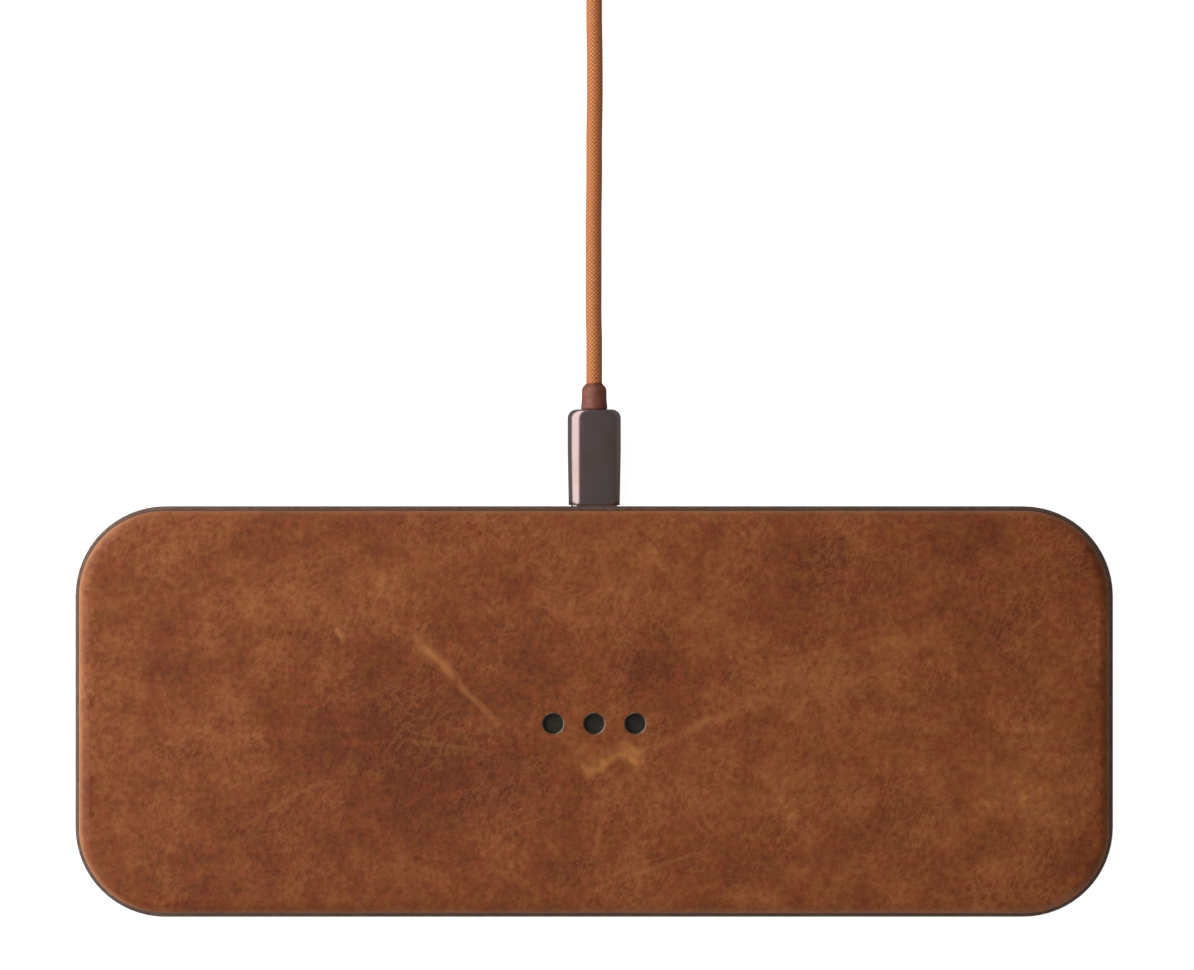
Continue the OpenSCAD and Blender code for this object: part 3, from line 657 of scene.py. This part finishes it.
def wound_line():
    """The turns of the coil, clockwise from its side nearest the pad's cord."""
    total = 180 - WOUND_EXIT + 360 * (COLUMNS * LAYERS - 1)
    line = []
    for angle in range(0, total + 1, 3):
        turn, within = divmod(angle, 360)
        radius, height = wound_place(turn)
        if turn < COLUMNS * LAYERS - 1:
            next_radius, next_height = wound_place(turn + 1)
            share = smooth_step((within - 360 + STEP_OVER) / STEP_OVER)
            radius += share * (next_radius - radius)
            height += share * (next_height - height)
        off_tie = abs((180 - angle - TIE_PLACE + 180) % 360 - 180)
        squeeze = 1 - smooth_step((off_tie - TIE_HALF) / TIE_HALF)
        height += squeeze * TIE_UNDER * (1 - height / wound_h)
        slack = 0.1 * MM * math.sin(math.radians(angle * 0.71)) * smooth_step(angle / 200)
        slack *= smooth_step((total - angle) / 200)
        flat = coil_middle.xy + (radius + slack) * heading(math.radians(180 - angle))
        line.append(Vector((flat.x, flat.y, height)))
    return line


def tail_point(across, along, share):
    """A point of the tail, turned to its heading."""
    ahead = heading(tail_heading)
    flat = tail_start + along * MM * ahead + across * MM * Vector((-ahead.y, ahead.x))
    return Vector((flat.x, flat.y, plug_t / 2 + share * (tail_z - plug_t / 2)))


def even_line(line, spacing_at):
    """The line again, with points as far apart as spacing_at says for each distance along it."""
    points, travelled, wanted = [line[0].copy()], 0.0, spacing_at(0.0)
    for a, b in zip(line, line[1:]):
        step = (b - a).length
        while travelled + step >= wanted:
            points.append(a.lerp(b, (wanted - travelled) / step))
            wanted += spacing_at(wanted)
        travelled += step
    if (points[-1] - line[-1]).length > 0.3 * spacing_at(travelled):
        points.append(line[-1].copy())
    return points


CORD_SIDES = 40
SEEN_LENGTH = 0.1
FINE_STEP = 0.18 * MM
COARSE_STEP = 1.0 * MM
BAKE_STRIPS = 15


def cord_line():
    drop = port_z - lie_z
    route = [Vector((x * MM, exit_y + y * MM, lie_z + share * drop)) for x, y, share in CORD_ROUTE]
    tail = [tail_point(*p) for p in TAIL_ROUTE]
    whole = through(route)[:-1] + wound_line()[:-1] + through(tail)
    return even_line(whole, lambda at: FINE_STEP if at < SEEN_LENGTH else COARSE_STEP)


def braid_height(around, along):
    """Relief of the braid at a place round and along the cord, from 0 to 1."""
    right = around * BRAID_STRANDS + along / BRAID_PITCH
    left = around * BRAID_STRANDS - along / BRAID_PITCH
    over = (math.floor(right) + math.floor(left)) % 2
    across = (right if over == 0 else left) % 1 - 0.5
    return 1 - BRAID_ROUND * across * across


def add_cord():
    """The whole braided cord as one tube, with a map for its braid and another for its strips."""
    line = cord_line()
    points, distance = [], [0.0]
    for a, b in zip(line, line[1:]):
        distance.append(distance[-1] + (b - a).length)
    for i, middle in enumerate(line):
        ahead = (line[min(i + 1, len(line) - 1)] - line[max(i - 1, 0)]).normalized()
        side = ahead.cross(Vector((0, 0, 1))).normalized()
        up = side.cross(ahead)
        fine = 1 - smooth_step((distance[i] - SEEN_LENGTH + 4 * MM) / (4 * MM))
        for k in range(CORD_SIDES):
            angle = 2 * math.pi * k / CORD_SIDES
            height = BRAID_DEPTH * fine * (braid_height(k / CORD_SIDES, distance[i]) - BRAID_MEAN)
            points.append(middle + (cord_d / 2 + height) * (math.cos(angle) * side + math.sin(angle) * up))
    faces = capped((len(line), CORD_SIDES))
    cord = add_piece(
        "braided_cord", points, faces, "cable", "braid", ["cord", "cord_coil", "cord_tail"]
    )
    map_cord(cord.data, distance)
    return cord, line


def map_cord(mesh, distance):
    """The braid's map runs once round and in metres along, and the bake's map lays the tube in strips."""
    braid = mesh.uv_layers.new(name="braid")
    bake = mesh.uv_layers.new(name="OFBake")
    strip = distance[-1] / BAKE_STRIPS
    for face in mesh.polygons:
        if len(face.vertices) != 4:  # an end cap takes a spare corner of the map
            for loop in face.loop_indices:
                bake.data[loop].uv = (0.999, 0.999)
            continue
        ring, side = divmod(face.vertices[0], CORD_SIDES)
        row = min(int(distance[ring] / strip), BAKE_STRIPS - 1)
        corners = ((side, ring), (side + 1, ring), (side + 1, ring + 1), (side, ring + 1))
        for loop, (around, place) in zip(face.loop_indices, corners):
            braid.data[loop].uv = (around / CORD_SIDES, distance[place])
            along = (distance[place] - row * strip) / strip
            across = (row + 0.03 + 0.94 * around / CORD_SIDES) / BAKE_STRIPS
            bake.data[loop].uv = (0.004 + 0.985 * along, across)


# ---- Plugs and strain reliefs ----

CASING_WALL = 0.64 * MM
CASING_CORNER = 2.5 * MM
CASING_END = 0.8 * MM  # thickness of its closed end
TAPER_LENGTH = 10 * MM  # from its mouth to where it reaches its full width
CORNER_STEPS = 10


def casing_ring(half_w, half_t, radius, y):
    """Ring of a rounded rectangle, square to the plug."""
    radius = min(radius, half_t - 0.02 * MM, half_w)
    ring = []
    for quarter in range(4):
        sign_x, sign_z = quarter_signs(quarter)
        for step in range(CORNER_STEPS + 1):
            angle = math.radians(90 * (quarter + step / CORNER_STEPS))
            ring.append(Vector((
                sign_x * (half_w - radius) + radius * math.cos(angle), y,
                sign_z * (half_t - radius) + radius * math.sin(angle),
            )))
    return ring


def round_ring(radius, y):
    """Ring of a circle, with as many points as a casing's."""
    count = 4 * (CORNER_STEPS + 1)
    angles = [2 * math.pi * (i + 0.5) / count for i in range(count)]
    return [Vector((radius * math.cos(a), y, radius * math.sin(a))) for a in angles]


def casing_rings():
    """From inside the mouth, over the front edge, along the outside and back in at the closed end."""
    def at(y, inset_x, inset_z=None):
        inset_z = inset_x if inset_z is None else inset_z
        return casing_ring(
            plug_w / 2 - inset_x, plug_t / 2 - inset_z, CASING_CORNER - min(inset_x, inset_z), y
        )
    front = [(0.2, 0.62), (0.05, 0.58), (0, 0.52), (0, 0.3), (0.03, 0.22), (0.1, 0.18), (0.7, 0.17),
             (2.0, 0.15), (4.0, 0.11), (7.0, 0.05)]
    rings = [at(y * MM, inset * MM) for y, inset in front]
    end_r = 1.6 * MM
    end_r_z = 0.36 * MM
    straight = plug_l - end_r
    rings += [at(TAPER_LENGTH + (straight - TAPER_LENGTH) * i / 4, 0.0) for i in range(5)]
    for i in range(1, 13):
        angle = math.radians(90 * i / 12)
        y = straight + end_r * math.sin(angle)
        share = max(0.0, (y - plug_l + end_r_z) / end_r_z)
        rings.append(at(y, end_r * (1 - math.cos(angle)), end_r_z * (1 - math.sqrt(1 - share ** 2))))
    hole = relief_d / 2 + 0.05 * MM
    rings += [round_ring(hole, plug_l), round_ring(hole, plug_l - CASING_END)]
    rings.append(at(plug_l - CASING_END, CASING_WALL))
    rings += [at((plug_l - CASING_END) * (1 - i / 6) + 0.2 * MM * i / 6, CASING_WALL) for i in range(1, 6)]
    return rings


def relief_rings():
    """Round profile: root in the casing, a slight flare, then a shoulder down to the cord."""
    tip = 1.7 * MM
    shoulder = 1.3 * MM
    half = relief_d / 2
    neck = half - 0.05 * MM
    profile = [(neck, -1.8 * MM), (neck, 0.0), (half + 0.02 * MM, 0.03 * MM)]
    profile += [(half + (0.1 - 0.14 * smooth_step(i / 6)) * MM, (0.2 + 0.32 * i) * MM) for i in range(8)]
    profile += arc_points((neck - shoulder, relief_l - shoulder), shoulder, 0, 62, 9)
    profile += [(tip - 0.02 * MM, relief_l - 0.02 * MM), (cord_d / 2 - 0.05 * MM, relief_l - 0.1 * MM)]
    return [round_ring(radius, plug_l + y) for radius, y in profile]


def add_plug(place, end=""):
    """The casing and the strain relief of one plug, with the start of their names for the far one."""
    size = 4 * (CORNER_STEPS + 1)
    rings = casing_rings()
    points = [place @ p for ring in rings for p in ring]
    faces = skin((len(rings), size), closed=True)
    casing = add_piece(f"{end}plug_casing", points, faces, "cable", "plug_metal", [f"{end}plug_housing"])
    rings = relief_rings()
    points = [place @ p for ring in rings for p in ring]
    faces = capped((len(rings), size))
    relief = add_piece(
        f"{end}plug_relief", points, faces, "cable", "relief_rubber", [f"{end}strain_relief"]
    )
    return [casing, relief]


def far_plug_place():
    """Where the far plug lies: the tail ends in its strain relief."""
    end = tail_point(*TAIL_ROUTE[-1])
    back = Matrix.Translation((0, -plug_l - relief_l, 0))
    return Matrix.Translation(end) @ Matrix.Rotation(tail_heading + math.pi / 2, 4, "Z") @ back


# ---- Tie round the wound coil ----

TIE_WIDTH = 12 * MM
TIE_THICK = 1 * MM
TIE_CORNER = 2 * MM  # radius of the corners of its outer outline
BUTTON_D = 6 * MM
STITCH_INSET = 1.1 * MM  # from the strap's edge
STITCH_RINGS = 9
STITCH_SIDES = 10


def tie_place():
    """Frame of the tie: X outwards across the turns, Y along them, Z up."""
    angle = math.radians(TIE_PLACE)
    turns_middle = wound_r_out - (COLUMNS - 1) * cord_d / 2
    middle = coil_middle.xy + turns_middle * heading(angle)
    return Matrix.Translation((middle.x, middle.y, 0)) @ Matrix.Rotation(angle, 4, "Z")


def add_tie():
    """A leather strap round the turns, lapped on top and closed with a press button."""
    place = tie_place()
    span = COLUMNS * cord_d
    inner_h = wound_h - TIE_UNDER
    inner = round_outline(span, inner_h, 1.0 * MM, 1.2 * MM, 8)
    outer_w, outer_h = span + 2 * TIE_THICK, wound_h + TIE_THICK
    outer = match_outline(inner, outer_w, outer_h, TIE_CORNER)
    half = TIE_WIDTH / 2
    # share of the way from the inner to the outer outline, and mm in from the strap's edge
    side = [(0.0, 0.3), (0.1, 0.08), (0.35, 0.0), (0.65, 0.0), (0.9, 0.08), (1.0, 0.3), (1.0, 1.6)]
    right = [(share, half - inset * MM) for share, inset in side]
    left = [(share, -y) for share, y in reversed(right)]
    section = left[-1:] + right + [(1.05, 0.0)] + left[:-1]
    points = []
    for (p, _), q in zip(inner, outer):
        low = Vector((p.x, 0, p.y + TIE_UNDER + inner_h / 2))
        high = Vector((q.x, 0, q.y + outer_h / 2))
        for share, y in section:
            at = low.lerp(high, share)
            at.z = max(at.z, 0.0)
            points.append(place @ Vector((at.x, y, at.z)))
    strap = add_piece(
        "tie_strap", points, skin((len(inner), len(section)), closed=True), "cable", "leather_strap",
        ["cord_tie"],
    )
    return [strap, add_tie_lap(place), add_tie_button(place), add_tie_stitches(place)]


def match_outline(inner, width, height, radius):
    """Points of a larger rounded rectangle that face the points of a smaller one."""
    found = []
    corner = Vector((width / 2 - radius, height / 2 - radius))
    for point, out in inner:
        if abs(out.x) > 1e-6 and abs(out.y) > 1e-6:
            middle = Vector((math.copysign(corner.x, point.x), math.copysign(corner.y, point.y)))
            found.append(middle + radius * out)
        elif abs(out.y) > 0.5:
            found.append(Vector((max(-corner.x, min(corner.x, point.x)), math.copysign(height / 2, out.y))))
        else:
            found.append(Vector((math.copysign(width / 2, out.x), max(-corner.y, min(corner.y, point.y)))))
    return found


def add_tie_lap(place):
    """The strap's free end, which laps over its top with a round end."""
    low_z = wound_h + TIE_THICK
    half = TIE_WIDTH / 2 - 0.5 * MM
    reach = 2.6 * MM  # of the straight part towards the round end
    start = -COLUMNS * cord_d / 2
    outline = [Vector((reach + half * 0.9 * math.cos(a), half * math.sin(a)))
               for a in (math.radians(-90 + 180 * i / 24) for i in range(25))]
    outline += [Vector((start, half)), Vector((start, -half))]
    profile = [(0.0, -0.05), (0.0, 0.45), (0.06, 0.62), (0.2, 0.72), (0.5, 0.75), (2.2, 0.75), (4.2, 0.76)]
    rings = []
    for inset, height in profile:
        ring = []
        for p in outline:
            centre = Vector((min(max(p.x, start + 4.6 * MM), reach), 0))
            away = p - centre
            shrunk = centre + away * max(0.0, 1 - inset * MM / away.length)
            rest = smooth_step((p.x - start) / (4 * MM))
            ring.append(place @ Vector((shrunk.x, shrunk.y, low_z + height * MM * rest)))
        rings.append(ring)
    points = [p for ring in rings for p in ring]
    faces = capped((len(rings), len(outline)))
    return add_piece("tie_lap", points, faces, "cable", "leather_strap")


def turned(profile, place, count=40):
    """Points and faces of a closed round piece, from a profile of radius and height."""
    points = []
    for radius, height in profile:
        for i in range(count):
            angle = 2 * math.pi * i / count
            points.append(place @ Vector((radius * math.cos(angle), radius * math.sin(angle), height)))
    return points, capped((len(profile), count))


def add_tie_button(place):
    """A press button: a rolled rim round a low dome."""
    base = wound_h + TIE_THICK + 0.7 * MM
    half = BUTTON_D / 2
    top = tie_high.z - base
    profile = [(half - 0.3 * MM, 0.0), (half, 0.1 * MM)]
    profile += arc_points((half - 0.28 * MM, 0.18 * MM), 0.28 * MM, 0, 140, 8)
    profile += [(half - 0.75 * MM, 0.3 * MM), (half - 0.85 * MM, 0.28 * MM)]
    dome_r = half - 0.95 * MM
    dome_low = 0.28 * MM
    for degrees in range(8, 89, 8):
        angle = math.radians(degrees)
        profile.append((dome_r * math.cos(angle), dome_low + (top - dome_low) * math.sin(angle)))
    points, faces = turned(profile, place @ Matrix.Translation((0, 0, base)))
    return add_piece("tie_button", points, faces, "cable", "plug_metal")


def add_tie_stitches(place):
    """Stitches along both edges of the strap, on its top and down its outer sides."""
    points, faces = [], []
    rise = 0.16 * MM
    top_z = wound_h + TIE_THICK
    side_x = COLUMNS * cord_d / 2 + TIE_THICK
    runs = []
    for y in (-TIE_WIDTH / 2 + STITCH_INSET, TIE_WIDTH / 2 - STITCH_INSET):
        for i in range(4):
            for sign in (-1, 1):
                z = (2.6 + 2.4 * i) * MM
                runs.append((Vector((sign * side_x, y, z)), Vector((0, 0, 1)), Vector((sign, 0, 0))))
        runs.append((Vector((side_x - 2.4 * MM, y, top_z)), Vector((1, 0, 0)), Vector((0, 0, 1))))
    for middle, along, out in runs:
        side = along.cross(out)
        first = len(points)
        for i in range(STITCH_RINGS):
            t = -1 + 2 * i / (STITCH_RINGS - 1)
            girth = 0.22 * MM * math.sqrt(max(0.0, 1 - t ** 4)) + 0.01 * MM
            centre = middle + along * 0.85 * MM * t + out * rise * (1 - t * t)
            for k in range(STITCH_SIDES):
                angle = 2 * math.pi * k / STITCH_SIDES
                points.append(place @ (centre + girth * (math.cos(angle) * side + math.sin(angle) * out)))
        faces += capped((STITCH_RINGS, STITCH_SIDES), first)
    return add_piece("tie_stitches", points, faces, "cable", "leather_strap", looks=["thread"])


# ---- Leather cover ----

LEATHER_CORNER = 15.25 * MM
LEATHER_THICK = leather_high.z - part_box("foam_underlay")[1].z
EDGE_R = 2.2 * MM
HEM_WIDTH = 5 * MM
HEM_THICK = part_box("ferrite_left")[1].z - leather_low.z
LOOP_SPACING = 0.8 * MM
TOP_SPACING = 0.75 * MM
WINDOW_R = 1.72 * MM
WINDOW_LIP = 0.45 * MM
WINDOW_PITCH = 7.3 * MM
WINDOW_Y = -2 * MM
RING_COUNT = 48  # points in each ring of a window
GRAIN_RINGS = 4  # bands of a window's lip that still show grain; the cut edge starts below them
WINDOWS = [Vector((i * WINDOW_PITCH, WINDOW_Y)) for i in (-1, 0, 1)]


def swell(x, y):
    """Slow unevenness of leather over foam, in metres."""
    broad = noise.noise(Vector((x * 90, y * 90, 3.7)))
    close = noise.noise(Vector((x * 330, y * 330, 8.1)))
    return 0.035 * MM * broad + 0.012 * MM * close


def leather_profile():
    """Distance in from the outline and height, from under the top, round the hem and up over the edge."""
    top, low = leather_high.z, leather_low.z
    inner_r = EDGE_R - LEATHER_THICK
    inside = arc_points((LEATHER_THICK + inner_r, top - LEATHER_THICK - inner_r), inner_r, 90, 180, 6)
    hem_top = low + HEM_THICK
    fold = 0.35 * MM
    profile = inside + [(LEATHER_THICK, hem_top + 0.6 * MM), (LEATHER_THICK + 0.05 * MM, hem_top)]
    profile += [(HEM_WIDTH * 0.6, hem_top), (HEM_WIDTH, hem_top - 0.1 * MM), (HEM_WIDTH, low + 0.1 * MM)]
    profile += [(HEM_WIDTH * 0.6, low), (1.5 * MM, low)]
    profile += arc_points((fold, low + fold), fold, 270, 180, 5)
    rise = top - EDGE_R - low - fold
    profile += [(0.0, low + fold + rise * i / 4) for i in range(1, 4)]
    profile += arc_points((EDGE_R, top - EDGE_R), EDGE_R, 180, 90, 16)
    return profile


def add_leather():
    outline = round_outline(leather_l, leather_w, LEATHER_CORNER, LOOP_SPACING, 30)
    profile = leather_profile()
    size = len(outline)
    points = []
    for inset, height in profile:
        high = smooth_step((height - leather_low.z - 1 * MM) / (2 * MM))
        for p, out in outline:
            uneven = 0.045 * MM * high * noise.noise(Vector((p.x * 150, p.y * 150, 1.3)))
            flat = p - (inset - uneven + 0.04 * MM * high) * out
            level = swell(flat.x, flat.y) * smooth_step((inset - 0.8 * MM) / EDGE_R) * high
            points.append(Vector((flat.x, flat.y, height + level)))
    faces = skin((len(profile), size))
    looks = [0] * len(faces)
    under_loop = list(range(size))
    over_loop = list(range(len(points) - size, len(points)))
    # windows: rings from the flat top over the lip and down to the underside
    tops, unders = [], []
    for middle in WINDOWS:
        first = len(points)
        rings = [(WINDOW_R + WINDOW_LIP * 1.9, -0.01 * MM), (WINDOW_R + WINDOW_LIP * 1.4, -0.03 * MM)]
        lip = arc_points((WINDOW_R + WINDOW_LIP, -WINDOW_LIP), WINDOW_LIP, 90, 180, 7)
        rings += [(radius, z - 0.04 * MM) for radius, z in lip]
        rings += [(WINDOW_R, -0.75 * MM), (WINDOW_R, -LEATHER_THICK)]
        for radius, depth in rings:
            for k in range(RING_COUNT):
                angle = -2 * math.pi * k / RING_COUNT
                x, y = middle.x + radius * math.cos(angle), middle.y + radius * math.sin(angle)
                fade = smooth_step((radius - WINDOW_R) / (2 * WINDOW_LIP))
                points.append(Vector((x, y, leather_high.z + depth + swell(x, y) * fade)))
        wall = [tuple(reversed(f)) for f in skin((len(rings), RING_COUNT), first)]
        faces += wall
        looks += [1 if i // RING_COUNT >= GRAIN_RINGS else 0 for i in range(len(wall))]
        tops.append(list(range(first, first + RING_COUNT)))
        unders.append(list(range(len(points) - RING_COUNT, len(points))))
    top_faces = fill(
        points, over_loop, tops, TOP_SPACING, EDGE_R, lambda x, y: leather_high.z + swell(x, y)
    )
    under_z = leather_high.z - LEATHER_THICK
    under_faces = fill(points, under_loop, unders, 6 * MM, EDGE_R, lambda x, y: under_z)
    faces += top_faces + [tuple(reversed(f)) for f in under_faces]
    looks += [0] * (len(top_faces) + len(under_faces))
    return add_piece(
        "leather_skin", points, faces, "pad", "leather", ["leather_cover"], ["leather", "cut_edge"], looks
    )


def fill(points, loop, hole_loops, spacing, inset, height_at):
    """Triangles inside a loop and outside the windows, over points that are added on a staggered grid."""
    boundary = list(loop) + [i for hole in hole_loops for i in hole]
    flat = [points[i].xy for i in boundary]
    numbers = list(boundary)
    half_l, half_w = leather_l / 2 - inset, leather_w / 2 - inset
    radius = LEATHER_CORNER - inset
    hole_r = max((points[hole_loops[0][0]].xy - WINDOWS[0]).length, WINDOW_R)
    margin = 0.55 * min(spacing, LOOP_SPACING)
    rows = int(2 * half_w / spacing)
    columns = int(2 * half_l / spacing)
    for row in range(rows + 1):
        y = -half_w + row * spacing
        for column in range(columns + 1):
            x = -half_l + (column + 0.5 * (row % 2)) * spacing
            past = Vector((max(abs(x) - half_l + radius, 0), max(abs(y) - half_w + radius, 0)))
            if max(abs(x) - half_l, abs(y) - half_w) > -margin or past.length > radius - margin:
                continue
            if min((Vector((x, y)) - middle).length for middle in WINDOWS) < hole_r + margin:
                continue
            flat.append(Vector((x, y)))
            numbers.append(len(points))
            points.append(Vector((x, y, height_at(x, y))))
    edges = []
    first = 0
    for ring in [loop] + hole_loops:
        edges += [(first + i, first + (i + 1) % len(ring)) for i in range(len(ring))]
        first += len(ring)
    result = delaunay_2d_cdt(flat, edges, [], 0, 1e-9)
    origin = [numbers[source[0]] for source in result[3]]
    faces = []
    for face in result[2]:
        middle = sum((result[0][i] for i in face), Vector((0, 0))) / 3
        if min((middle - window).length for window in WINDOWS) > hole_r * 0.998:
            faces.append(tuple(origin[i] for i in face))
    return faces


# ---- Base pad ----

PAD_CORNER = 16 * MM  # of the whole pad's outline
GROOVE_INSET = 3.5 * MM
GROOVE_WIDTH = 1.2 * MM
GROOVE_DEPTH = 0.25 * MM


def add_base_pad():
    """Rubber pad under the tray, with a rounded lower edge and a shallow groove round its face."""
    length, width = base_high.x - base_low.x, base_high.y - base_low.y
    radius = PAD_CORNER - (cad_high.x - cad_low.x - length) / 2
    outline = round_outline(length, width, radius, 4 * MM, 16)
    round_r = 0.35 * MM
    last = 6 * MM  # inset of the innermost rings, which are closed with flat faces
    profile = [(last, base_high.z), (0.0, base_high.z), (0.0, round_r)]
    profile += arc_points((round_r, round_r), round_r, 180, 270, 5)[1:]
    for across, depth in ((0, 0), (0.1, 0.8), (0.5, 1), (0.9, 0.8), (1, 0)):
        profile.append((GROOVE_INSET + across * GROOVE_WIDTH, depth * GROOVE_DEPTH))
    profile.append((last, 0.0))
    points = []
    for inset, z in profile:
        points += [Vector((p.x - inset * out.x, p.y - inset * out.y, z)) for p, out in outline]
    faces = [tuple(reversed(f)) for f in capped((len(profile), len(outline)))]
    return add_piece("rubber_base", points, faces, "pad", "base_rubber", ["base_pad"])


# ---- Floor and light ----

FLOOR_GLOW_SEEN = 0.95  # to the camera
FLOOR_GLOW_UNSEEN = 0.05  # to every other ray
WORLD_LIGHT = 0.18
PANEL_AIM = Vector((0, 0.03, 0))


def add_floor():
    """A plain floor that looks white to the camera and throws only a little light back up."""
    look = Look("pale_floor", (148, 148, 148), 0.8, Specular_IOR_Level=0.0)
    seen = look.node("LightPath").outputs["Is Camera Ray"]
    look.set("Emission Color", (1.0, 1.0, 1.0, 1.0))
    glow = look.node("MapRange", {0: seen, 3: FLOOR_GLOW_UNSEEN, 4: FLOOR_GLOW_SEEN})
    look.set("Emission Strength", glow.outputs[0])
    half = 4.0
    corners = [(-half, -half, 0), (half, -half, 0), (half, half, 0), (-half, half, 0)]
    mesh = bpy.data.meshes.new("floor")
    mesh.from_pydata(corners, [], [(0, 1, 2, 3)])
    mesh.materials.append(look.material)
    floor = add_object("floor", mesh)
    floor.location.z = -0.02 * MM


def add_panel(name, place, width, length, power, tint=(1.0, 1.0, 1.0)):
    """A soft rectangular light that faces the pad. Its length lies along the floor."""
    data = bpy.data.lights.new(name, "AREA")
    data.shape = "RECTANGLE"
    data.size, data.size_y = length, width
    data.energy = power
    data.color = tint
    light = add_object(name, data)
    light.location = place
    light.rotation_euler = (PANEL_AIM - Vector(place)).to_track_quat("-Z", "Y").to_euler()
    light.visible_camera = False


def add_world():
    """Soft grey light from all round, behind a white backdrop."""
    world = bpy.data.worlds.new("studio")
    world.use_nodes = True
    tree = world.node_tree
    back = tree.nodes["Background"]
    back.inputs[0].default_value = (1.0, 1.0, 1.0, 1.0)
    seen = tree.nodes.new("ShaderNodeLightPath").outputs["Is Camera Ray"]
    strength = tree.nodes.new("ShaderNodeMapRange")
    strength.inputs[3].default_value = WORLD_LIGHT
    strength.inputs[4].default_value = 1.0
    tree.links.new(seen, strength.inputs[0])
    tree.links.new(strength.outputs[0], back.inputs[1])
    bpy.context.scene.world = world


# ---- The scene ----

add_camera()
own_cord, own_line = add_cord()
near_plug_place = Matrix.Translation((0, casing_low.y, port_z))
carried_pieces = add_plug(near_plug_place) + add_plug(far_plug_place(), "far_") + add_tie()
add_leather()
add_base_pad()
dress_cad_nodes()

add_floor()
add_world()
add_panel("key_panel", (-0.39, 0.17, 0.30), width=0.655, length=0.9, power=4.5)
add_panel("front_panel", (0.35, -0.9, 0.25), width=0.35, length=0.8, power=1.8, tint=(1.0, 0.98, 0.95))
bpy.context.scene.view_settings.view_transform = "Standard"
